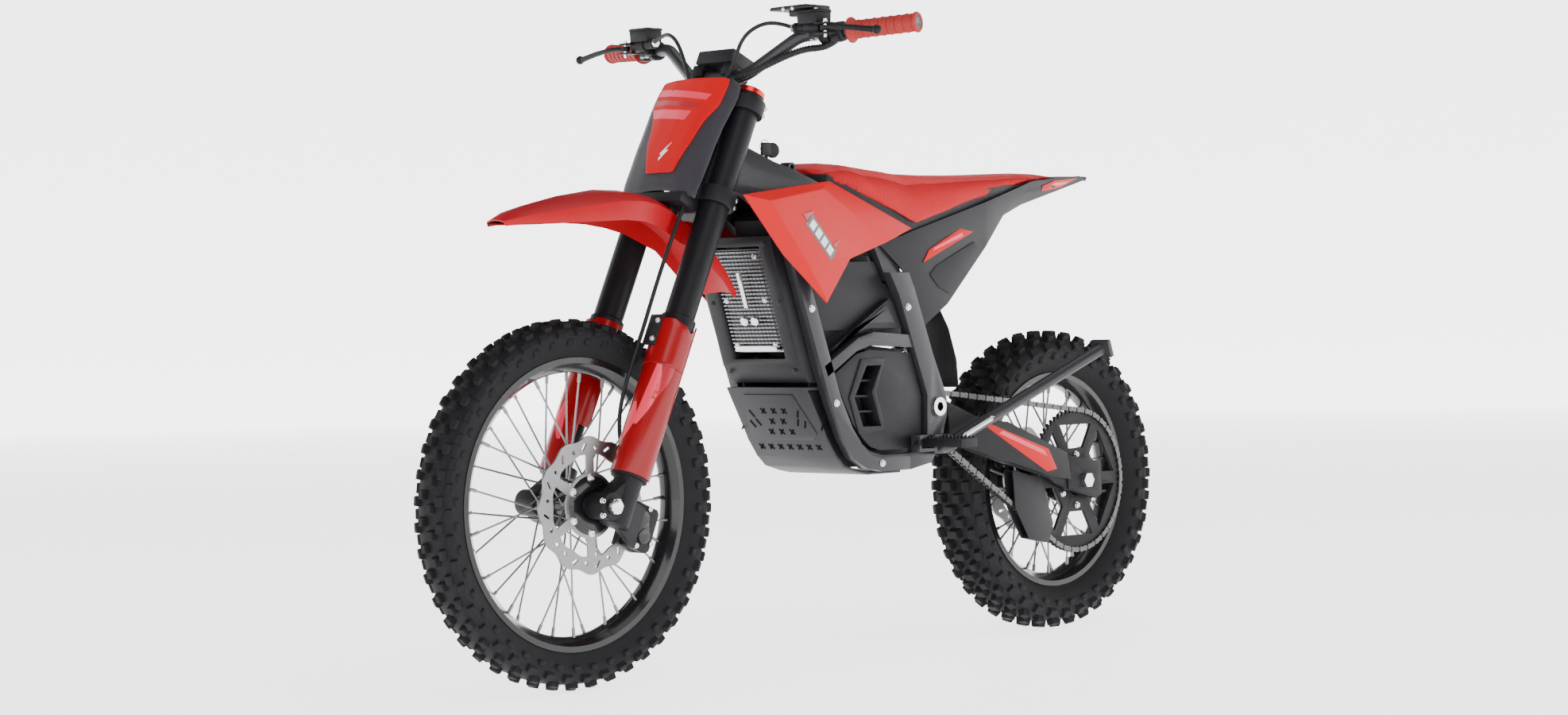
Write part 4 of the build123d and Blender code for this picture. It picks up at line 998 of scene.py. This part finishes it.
for side, tag in SIDES:
    label = [(168, 808), (190, 790), (122, 724), (102, 742)]
    facet_patch(tag + "_shroud_label", patch_xz(SHROUD_FACET, label), 0.5, 0.8, "frame", DECAL_GREY,
                "red_plastic", side)
    for k in range(4):
        t0, t1 = 0.10 + k * 0.22, 0.26 + k * 0.22
        a, b, c, d = label
        shares = ((t0, 0.18), (t0, 0.82), (t1, 0.82), (t1, 0.18))
        bar_patch = [in_quad((a, d, c, b), u, v) for u, v in shares]
        facet_patch(f"{tag}_shroud_label_{k}", patch_xz(SHROUD_FACET, bar_patch), 0.8, 0.8, "frame", WHITE,
                    "red_plastic", side)
    # dark red triangles stand in for the dents: painted shade on the flat facet, not a hollow
    dent_shades = ([(196, 806), (160, 812), (182, 792)], [(120, 752), (86, 763), (112, 742)])
    for k, dent_shade in enumerate(dent_shades):
        facet_patch(f"{tag}_shroud_dent_shade_{k}", patch_xz(SHROUD_FACET, dent_shade), 0.5, 0.9, "frame", DEEP_RED,
                    "red_plastic", side, bevel=0.0002)

PANEL_MARKS = (
    ("panel_badge", PANEL_FACET, [(-168, 722), (-186, 746), (-288, 790), (-318, 780)],
     2.0, 2.0, RED, "red_plastic", 0.0002),
    ("panel_badge_mark", PANEL_FACET, [(-196, 744), (-202, 750), (-282, 778), (-288, 772)],
     2.3, 0.8, PINK, "red_plastic", 0.0),
    ("tail_badge", TAIL_FACET, [(-560, 872), (-600, 884), (-700, 892), (-640, 871), (-570, 862)],
     0.9, 1.0, RED, "red_plastic", 0.0002),
    ("tail_badge_mark", TAIL_FACET, [(-592, 872), (-606, 880), (-668, 884), (-640, 876)],
     1.2, 0.8, PINK, "red_plastic", 0.0),
    ("panel_inset", PANEL_FACET,
     [(-188, 700), (-206, 716), (-322, 762), (-342, 744), (-246, 664), (-214, 676)],
     1.6, 2.4, PLASTIC, "black_plastic", 0.0011),
)
for side, tag in SIDES:
    for name, facet, outline, lift, thickness, mat, slot, bevel in PANEL_MARKS:
        facet_patch(f"{tag}_{name}", patch_xz(facet, outline), lift, thickness, "frame", mat, slot,
                    side, bevel)

# swingarm decals and fork guard stripes
for side, tag in SIDES:
    arm = [(-330, 415), (-350, 416), (-520, 362), (-545, 322), (-515, 318), (-400, 378)]
    facet_patch(tag + "_arm_badge", [(x, 115, z) for x, z in arm], 0.5, 0.8, "swingarm", RED, "red_plastic",
                side, bevel=0.0002)
    streak = [(-372, 398), (-386, 402), (-506, 360), (-516, 348)]
    facet_patch(tag + "_arm_badge_mark", [(x, 115, z) for x, z in streak], 0.8, 0.8, "swingarm", PINK,
                "red_plastic", side)

GUARD_R = 35.25
for side, tag in SIDES:
    for k, (s0, s1, a0, a1) in enumerate(((150, 262, 8, 44), (200, 300, 40, 72), (120, 190, -24, 6))):
        rows = []
        for i in range(9):
            s = s0 + (s1 - s0) * i / 8
            shift = (s - s0) * 0.18
            row = []
            for j in range(7):
                a = radians(a0 + shift + (a1 - a0) * j / 6 * (0.4 + 0.6 * sin(pi * i / 8)))
                row.append(fork_mm(s, LEG_N + GUARD_R * cos(a), side * (LEG_Y + GUARD_R * sin(a))))
            rows.append(row)
        sheet_piece(f"{tag}_guard_stripe_{k}", rows, 0.25, "fork_lower", PINK if k != 1 else DEEP_RED,
                    "red_plastic", offset=0)

# ---- heat sink, skid plate, covers

SLOPE = atan2(748 - 556, 214 - 152)
SINK_UP = Vector((cos(SLOPE), 0, sin(SLOPE)))
SINK_OUT = Vector((sin(SLOPE), 0, -cos(SLOPE)))
SINK_TURN = Matrix((SINK_OUT, ACROSS, SINK_UP)).transposed()


def sink_at(up, y, out):
    """Point on the tilted heat sink face: height up it, sideways, and out from it, in mm."""
    base = Vector((154, 0, 562))
    return (base + SINK_UP * up + ACROSS * y + SINK_OUT * out) * MM


bm = bmesh.new()
block(bm, sink_at(96, 0, -12), (8, 122, 194), SINK_TURN)
for i in range(27):
    up = 6 + i * 7.1
    for y in range(-54, 60, 9):
        block(bm, sink_at(up, y, -3), (12, 7.2, 2.4), SINK_TURN)
    block(bm, sink_at(up, 0, -5), (7, 120, 2.2), SINK_TURN)
look("heat_sink", bm, SINK_ALLOY, "alloy")
bm = bmesh.new()
block(bm, sink_at(120, 0, 4), (3, 9, 66), SINK_TURN)
block(bm, sink_at(10, 0, 4), (4, 104, 10), SINK_TURN)
for y in (-13, 13):
    lathe(bm, [(9, 0), (9, 5), (7, 7)], sink_at(62, y, 1), SINK_OUT, 24, False)
for up, y in ((16, -48), (16, 48), (182, -48), (182, 48), (100, 48), (100, -48)):
    bolt(bm, sink_at(up, y, 2), SINK_OUT, 4, 3)
from_bmesh("heat_sink_clamp", bm, "frame", STEEL, "bright_steel", bevel=0.0006)
COVER_FACE = 3.5
bm = bmesh.new()
for up, y in ((-34, 80), (-34, -80), (206, 80), (206, -80), (96, 84), (96, -84)):
    bolt(bm, sink_at(up, y, COVER_FACE), SINK_OUT, 4, 2.6)
from_bmesh("cover_screws", bm, "frame", GREY_PLASTIC, "black_plastic")

# skid plate: raised front face, with painted shade for its dark crossed slots
FACE_A, FACE_B = Vector((142, 0, 500)), Vector((90, 0, 407))
face_up = (FACE_A - FACE_B).normalized()
face_out = Vector((face_up.z, 0, -face_up.x))
face_turn = Matrix((face_out, ACROSS, face_up)).transposed()


def skid_at(up, y, out):
    """Point on the skid plate's front face: height up it, sideways, and out from it, in mm."""
    return (FACE_B + face_up * up + Vector((0, y, 0)) + face_out * out) * MM


rounded_copy("skid_plate", GREY_PLASTIC, 0.0035, "black_plastic")
bm = bmesh.new()
face_outline = [(-62, 92), (62, 92), (84, 10), (70, -4), (-70, -4), (-84, 10)]


def skid_frame(a, b, c):
    return skid_at(b, a, c)


prism(bm, face_outline, -0.5, 2.6, skid_frame)
from_bmesh("skid_face", bm, "frame", GREY_PLASTIC, "black_plastic", bevel=0.0016)
# near-black bars on the plate stand in for its slots: painted shade, with no holes cut
SLOT_SHADE = material("painted_slot_shade_m", (0.002, 0.002, 0.0025), 0.9, grain=0.2, spec=0.1)
bm = bmesh.new()


def slot_shade_bar(y, up, angle, length=15, width=4.2, out=2.75):
    """Painted shade of a slot: a thin dark bar on the skid plate's face, turned in its plane."""
    turn = face_turn @ Matrix.Rotation(radians(angle), 3, "X")
    block(bm, skid_at(up, y, out), (0.5, length, width), turn)


for up, ys in ((58, (26, 0, -26)), (36, (14, -14)), (14, (26, 0, -26))):
    for y in ys:
        slot_shade_bar(y, up, 45)
        slot_shade_bar(y, up, -45)
for y, up in ((58, 52), (50, 34), (-58, 52), (-50, 34), (66, 30), (-66, 30)):
    slot_shade_bar(y, up, 62 if y > 0 else -62, 17)
from_bmesh("skid_slot_shade", bm, "frame", SLOT_SHADE, "black_plastic")
LOW_A, LOW_B = Vector((88, 0, 404)), Vector((68, 0, 375))
low_up = (LOW_A - LOW_B).normalized()
low_out = Vector((low_up.z, 0, -low_up.x))
low_turn = Matrix((low_out, ACROSS, low_up)).transposed()
# painted shade of the slots on the lower face and on the sides
bm = bmesh.new()
for y in (-72, -48, -24, 0, 24, 48, 72):
    for angle in (45, -45):
        turn = low_turn @ Matrix.Rotation(radians(angle), 3, "X")
        at_point = (LOW_A + LOW_B) / 2 + Vector((0, y, 0)) + low_out * 0.35
        block(bm, at_point * MM, (0.5, 15, 4.2), turn)
for side in (1, -1):
    for x, z, angle in ((104, 470, 25), (92, 448, 25), (98, 428, -25), (80, 420, 25)):
        turn = Matrix.Rotation(radians(angle), 3, "Y")
        block(bm, mm(x, side * 100.3, z), (4, 0.5, 16), turn)
from_bmesh("skid_low_slot_shade", bm, "frame", SLOT_SHADE, "black_plastic")

# inset on the upper covers, bezel and fins of the motor vent, dark backing behind the cradle
for side, tag in SIDES:
    tri = [(60, 577), (-56, 643), (-66, 640), (-84, 612), (-16, 612), (26, 600)]
    facet_patch(tag + "_cover_inset", [(x, 113, z) for x, z in tri], 2.0, 2.5, "frame", GREY_PLASTIC,
                "black_plastic", side, bevel=0.0012)
    bezel_outer = [(12, 548), (-52, 548), (-26, 488), (-52, 412), (22, 412), (46, 478)]
    bezel_inner = [(-2, 535), (-40, 535), (-14, 488), (-38, 425), (10, 425), (32, 478)]
    bm = bmesh.new()
    loops = []
    for outline, y in ((bezel_outer, 116), (bezel_outer, 119), (bezel_inner, 119), (bezel_inner, 116)):
        loops.append([bm.verts.new(mm(x, side * y, z)) for x, z in outline])
    for a, b in zip(loops, loops[1:]):
        skin(bm, a, b)
    bmesh.ops.recalc_face_normals(bm, faces=bm.faces)
    from_bmesh(tag + "_vent_bezel", bm, "frame", PLASTIC, "black_plastic", bevel=0.001)
    bm = bmesh.new()
    for i in range(9):
        block(bm, mm(-4, side * 82, 430 + i * 12), (60, 3, 4))
    from_bmesh(tag + "_vent_fins", bm, "frame", CAST, "black_plastic", bevel=0.0008)
    backing = [(118, 530), (104, 440), (70, 392), (38, 351), (-134, 351), (-160, 400), (-160, 480),
               (-134, 562), (-20, 574),
               (60, 566)]
    bm = bmesh.new()
    prism(bm, backing, side * 80, side * 84)
    upper_backing = [(112, 560), (60, 570), (26, 582), (-20, 588), (-134, 588), (-134, 660), (-60, 660),
                     (100, 650), (124, 600)]
    prism(bm, upper_backing, side * 80, side * 84)
    bmesh.ops.recalc_face_normals(bm, faces=bm.faces)
    from_bmesh(tag + "_cradle_backing", bm, "frame", PLASTIC, "black_plastic", bevel=0.001)

# frame bolts
bm = bmesh.new()
for x, z, y in ((84, 470, 122), (-35, 357, 122), (144, 640, 122), (-110, 640, 124)):
    for side in (1, -1):
        bolt(bm, mm(x, side * y, z), (0, side, 0), 5.2, 4.5)
look("frame_bolts", bm, STEEL, "bright_steel")

# ---- seat: inflated cushion

bm = bmesh.new()
bm.from_mesh(NODES["seat"].data)
bmesh.ops.remove_doubles(bm, verts=bm.verts, dist=MERGE)
for v in bm.verts:
    v.co.z -= 0.002
seat_mesh = bpy.data.meshes.new("seat_pad")
bm.to_mesh(seat_mesh)
bm.free()
seat = bpy.data.objects.new("seat_pad", seat_mesh)
bpy.context.scene.collection.objects.link(seat)
remesh = seat.modifiers.new("voxels", "REMESH")
remesh.mode = "VOXEL"
remesh.voxel_size = 0.005
apply_modifiers(seat)
CLOTH_FRAMES = 20
MOST_PUFF = 0.005
before = [v.co.copy() for v in seat.data.vertices]
cloth = seat.modifiers.new("cloth", "CLOTH")
cloth.settings.use_pressure = True
cloth.settings.uniform_pressure_force = 4
cloth.settings.effector_weights.gravity = 0
cloth.settings.quality = 6
cloth.point_cache.frame_start = 1
cloth.point_cache.frame_end = CLOTH_FRAMES
for f in range(1, CLOTH_FRAMES + 1):
    bpy.context.scene.frame_set(f)
apply_modifiers(seat)
bpy.context.scene.frame_set(1)
for v, old in zip(seat.data.vertices, before):
    move = v.co - old
    if move.length > MOST_PUFF:
        move *= MOST_PUFF / move.length
    v.co = old + move
smoother = seat.modifiers.new("relax", "SMOOTH")
smoother.factor = 0.5
smoother.iterations = 30
sub = seat.modifiers.new("finer", "SUBSURF")
sub.levels = 1
apply_modifiers(seat)

SEAT_TOP = [(-613, 896), (-513, 895), (-420, 891), (-330, 887), (-230, 885), (-145, 886), (-80, 892),
            (0, 900), (60, 904), (84, 905)]
SEAT_HALF = [(-613, 74), (-513, 94), (-420, 106), (-330, 113), (-230, 116), (-145, 118), (-80, 117),
             (0, 112), (60, 94), (84, 50)]
# the seam and the ribs lie at shares of the half width
SEAM_SHARE, SEAM_DEPTH = 0.80, 0.0022
RIB_SHARE, RIB_DEPTH, RIB_PITCH = 0.84, 0.0006, 9.0
for v in seat.data.vertices:
    x, y, z = (c / MM for c in v.co)
    half = lerp_table(SEAT_HALF, x)
    share = abs(y) / max(half, 1)
    if z > lerp_table(SEAT_TOP, x) - 60:
        seam = exp(-((share - SEAM_SHARE) / 0.035) ** 2)
        v.co.z -= SEAM_DEPTH * seam
        if share > RIB_SHARE:
            rib = 0.5 + 0.5 * cos(2 * pi * x / RIB_PITCH)
            v.co.y += (1 if y > 0 else -1) * RIB_DEPTH * rib * min(1, (share - RIB_SHARE) / 0.08)
seat.data.materials.clear()
seat.data.materials.append(SEAT_RED)
seat.data.materials.append(SEAT_SIDE)
for poly in seat.data.polygons:
    poly.use_smooth = True
    x, y, z = (c / MM for c in poly.center)
    poly.material_index = 1 if abs(y) / max(lerp_table(SEAT_HALF, x), 1) > 0.81 else 0
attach(seat, "frame")
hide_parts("seat")

# stitching along the seam
STITCH, STITCH_PITCH, STITCH_DROP = 3.2, 5.2, 4.38
bm = bmesh.new()
for side in (1, -1):
    x = -600
    while x < 70:
        y = side * lerp_table(SEAT_HALF, x) * 0.775
        z = lerp_table(SEAT_TOP, x) - STITCH_DROP
        block(bm, mm(x, y, z), (STITCH, 0.8, 0.8))
        x += STITCH_PITCH
from_bmesh("seat_stitching", bm, "frame", SEAT_SIDE, "seat_cover")

# ---- fork caps, seals, clamps

bm = bmesh.new()
for side in (1, -1):
    origin = fork_point(786, LEG_N, side * LEG_Y)
    lathe(bm, [(26, 0), (27.5, 1), (27.5, 9), (25, 11), (19, 11), (19, 8), (8, 8)], origin, FORK_UP, 40,
          False)
    hexagon(bm, origin + FORK_UP * 8 * MM, FORK_UP, 11, 6)
from_bmesh("fork_caps", bm, "steering", ANOD_RED, "red_plastic", smooth=35)
bm = bmesh.new()
for side in (1, -1):
    origin = fork_point(318, LEG_N, side * LEG_Y)
    lathe(bm, [(20.2, 0), (29, 0), (31.5, 3), (31.5, 12), (29.5, 14), (29.5, 22), (28, 40), (26.6, 44)],
          origin, FORK_UP, 48, False)
from_bmesh("dust_seals", bm, "steering", SATIN_BLACK, "black_plastic", smooth=30)
bm = bmesh.new()
for side in (1, -1):
    for s in (758, 772, 580, 594):
        bolt(bm, fork_point(s, LEG_N - 24, side * (LEG_Y + 21)), Vector((0, side, 0)) - FORK_AHEAD * 0.3,
             4.2, 5)
    for n in (-12, 12):
        bolt(bm, fork_point(846, LEG_N + n, side * 38), FORK_UP, 4, 4)
hexagon(bm, fork_point(779, STEM_N), FORK_UP, 19, 8)
from_bmesh("clamp_bolts", bm, "steering", STEEL, "bright_steel", smooth=35)

# ---- hub cap and bolts

bm = bmesh.new()
bolt_circle(bm, FRONT_AXLE, 6, 46, 58, 6, 4)
from_bmesh("disc_bolts", bm, "front_wheel", STEEL, "bright_steel")
bm = bmesh.new()
lathe(bm, [(24.2, 52), (52, 52), (53, 53), (53, 56), (50, 58.2), (28, 60), (24.2, 60)], FRONT_AXLE, ACROSS,
      60, True)
from_bmesh("hub_cap", bm, "front_wheel", GLOSS_BLACK, "gloss_black", smooth=35)
bm = bmesh.new()
bolt_circle(bm, REAR_AXLE, 6, 50, 83.2, 5, 5)
from_bmesh("sprocket_bolts", bm, "rear_wheel", STEEL, "bright_steel")
bm = bmesh.new()
lathe(bm, [(0, 118), (13, 118), (13, 124), (10, 126), (0, 126)], FRONT_AXLE, ACROSS, 24, False)
for dx, dz in ((-40, 34), (-66, 40)):
    p = FRONT_AXLE + mm(dx, 92, dz)
    bolt(bm, p, ACROSS, 5, 6)
for dx, dz in ((20, -14), (20, 10)):
    bolt(bm, FRONT_AXLE + mm(dx, 108, dz), ACROSS, 4.2, 5)
from_bmesh("fork_foot_bolts", bm, "fork_lower", STEEL, "bright_steel")

# ---- springs, key, chain adjusters, peg teeth


def coil(bm, a, b, radius, wire, turns):
    """Wire spring between two points in mm, with a straight hook at each end."""
    a, b = Vector(a) * MM, Vector(b) * MM
    u, v, w = basis_of(b - a)
    length = (b - a).length
    line = [a]
    steps = turns * 14
    for i in range(steps + 1):
        t = 2 * pi * i / 14
        line.append(a + w * length * (0.08 + 0.84 * i / steps) + (u * cos(t) + v * sin(t)) * radius * MM)
    line.append(b)
    swept(bm, line, lambda d: wire, 8, 0.0012)


bm = bmesh.new()
STAND_PIVOT, STAND_FOOT = Vector((-186, 150, 386)), Vector((-646, 150, 553))
stand_way = (STAND_FOOT - STAND_PIVOT).normalized()
spring_start = STAND_PIVOT + Vector((-22, 17.5, 14))
spring_end = STAND_PIVOT + stand_way * 118 + Vector((0, 17.5, 6))
coil(bm, spring_start, spring_end, 4.0, 1.0, 30)
look("kickstand_spring", bm, STEEL, "bright_steel", smooth=60)

# shock spring: squeezed between its two perches
shock_top, shock_eye = Vector((-175.0, 0, 690.0)), Vector((-290.0, 0, 452.0))
shock_way = (shock_eye - shock_top).normalized()
perch_high, perch_low = shock_top + shock_way * 42.4, shock_top + shock_way * 207.6
u, v, w = basis_of(shock_way)
SHOCK_STEPS = 7 * 32
coil_line = []
for i in range(SHOCK_STEPS + 1):
    t = 2 * pi * i / 32
    coil_line.append((perch_high.lerp(perch_low, i / SHOCK_STEPS) + (u * cos(t) + v * sin(t)) * 27) * MM)
bm = bmesh.new()
swept(bm, coil_line, lambda d: 4.4, 12, 0.004)
spring_piece = from_bmesh("shock_spring_look", bm, None, STEEL, smooth=60)
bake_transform(spring_piece)
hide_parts("shock_spring")

bm = bmesh.new()
key_at = Vector((128, 0, 909))
lathe(bm, [(4, 0), (4, 8), (3.6, 9)], key_at * MM, (0, 0, 1), 16, False)
block(bm, (key_at + Vector((0, 0, 21))) * MM, (24, 6, 24), taper=0.9)
lathe(bm, [(0, -4), (12, -4), (14, -2.5), (14, 2.5), (12, 4), (0, 4)], (key_at + Vector((-17, 0, 19))) * MM,
      (0.2, 1, 0), 28, False)
look("key", bm, PLASTIC, "black_plastic", bevel=0.002)
bm = bmesh.new()
ring_line = []
for i in range(33):
    t = 2 * pi * i / 32
    ring_line.append(Vector((132 + 11 * cos(t), 2 * sin(t), 936 + 11 * sin(t))) * MM)
swept(bm, ring_line, lambda d: 0.9, 8, 0.002)
from_bmesh("key_ring", bm, "key", STEEL, "bright_steel", smooth=60)

bm = bmesh.new()
for side in (1, -1):
    hexagon(bm, REAR_AXLE + mm(-52, side * 98, 0), (-1, 0, 0.06), 6, 6)
    block(bm, REAR_AXLE + mm(-6, side * 109, 0), (30, 5, 24))
from_bmesh("chain_adjusters", bm, "swingarm", CAST, "frame_paint", bevel=0.001)

# teeth on the pegs
for side, tag in SIDES:
    bm = bmesh.new()
    for x in (-20, 20):
        for i in range(9):
            at_peg = Vector((-135 + x, side * (166 + i * 9), 402)) * MM
            block(bm, at_peg, (4, 5, 5), taper=0.35)
    from_bmesh(tag + "_peg_teeth", bm, tag + "_peg", CAST, "frame_paint")

# seam along the spars
for side, tag in SIDES:
    seam = [(286, 34, 935.5), (232, 46, 922), (188, 62, 906), (140, 76, 889), (60, 77, 861), (-10, 77, 830)]
    bm = bmesh.new()
    swept(bm, [mm(x, side * y, z) for x, y, z in seam], lambda d: 1.6, 8, 0.01)
    from_bmesh(tag + "_spar_seam", bm, "frame", PAINT, "frame_paint", smooth=60)

# seat pan: dark tray that closes the gap between seat, shrouds and side panels
PAN_LOW = [(-613, 886), (-513, 876), (-420, 852), (-330, 829), (-230, 802), (-145, 780), (-80, 792),
           (0, 826), (60, 856), (84, 880)]
rows = []
for x, z in PAN_LOW:
    half = lerp_table(SEAT_HALF, x)
    rim_z = min(z + 30, lerp_table(SEAT_TOP, x) - 22)
    rows.append([(x, -half + 8, rim_z), (x, -half + 13, z - 16), (x, half - 13, z - 16),
                 (x, half - 8, rim_z)])
sheet_piece("seat_pan", rows, 2.5, "frame", PLASTIC, "black_plastic", offset=0)

# blocks that carry the fender under the lower clamp
bm = bmesh.new()
block(bm, fork_point(566, -18, 0), (34, 96, 12), FORK_TURN)
block(bm, fork_point(556, 2, 0), (22, 70, 26), FORK_TURN)
block(bm, fork_point(563, 6, 0), (52, 150, 20), FORK_TURN)
from_bmesh("fender_mount", bm, "steering", PLASTIC, "black_plastic", bevel=0.003)

# rounded guard tops, the hose bracket and the caliper's bolts and cover
CAP_R = 35.7
for side, tag in SIDES:
    rows = []
    for i in range(13):
        s = 262 + 84 * i / 12
        shrink = sqrt(max(0.0, 1 - (max(0.0, s - 300) / 47) ** 2))
        row = []
        for j in range(17):
            a = radians(22 + 100 * max(0.12, shrink) * (2 * j / 16 - 1))
            row.append(fork_mm(s, LEG_N + CAP_R * cos(a), side * (LEG_Y + CAP_R * sin(a))))
        rows.append(row)
    sheet_piece(tag + "_guard_cap", rows, 2.2, "fork_lower", GLOSS_RED, "red_plastic", bevel=0.5, offset=0)
bm = bmesh.new()
block(bm, fork_point(322, LEG_N + 37, LEG_Y - 12), (7, 30, 56), FORK_TURN)
from_bmesh("hose_bracket", bm, "fork_lower", PLASTIC, "black_plastic", bevel=0.002)
bm = bmesh.new()
for s in (304, 338):
    bolt(bm, fork_point(s, LEG_N + 40, LEG_Y - 4), FORK_AHEAD, 4.2, 4)
from_bmesh("hose_bracket_bolts", bm, "fork_lower", STEEL, "bright_steel")
caliper_low, caliper_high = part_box("front_caliper")
caliper_mid = (Vector(caliper_low) + Vector(caliper_high)) / 2
outer_y = caliper_high[1]
bm = bmesh.new()
for dz in (-15, 15):
    lathe(bm, [(14, -6), (14, 2.2), (12.5, 4), (0, 4)],
          Vector((caliper_mid.x, outer_y, caliper_mid.z + dz * MM)), ACROSS,
          32, False)
block(bm, Vector((caliper_mid.x, outer_y - 0.001, caliper_mid.z)), (24, 8, 34))
from_bmesh("caliper_cover", bm, "fork_lower", GLOSS_BLACK, "frame_paint", bevel=0.0012)
bm = bmesh.new()
for dx, dz in ((-17, 30), (17, 30), (-17, -30), (17, -30)):
    bolt(bm, Vector((caliper_mid.x + dx * MM, outer_y - 0.002, caliper_mid.z + dz * MM)), ACROSS, 4.6, 5)
from_bmesh("caliper_bolts", bm, "fork_lower", STEEL, "bright_steel")
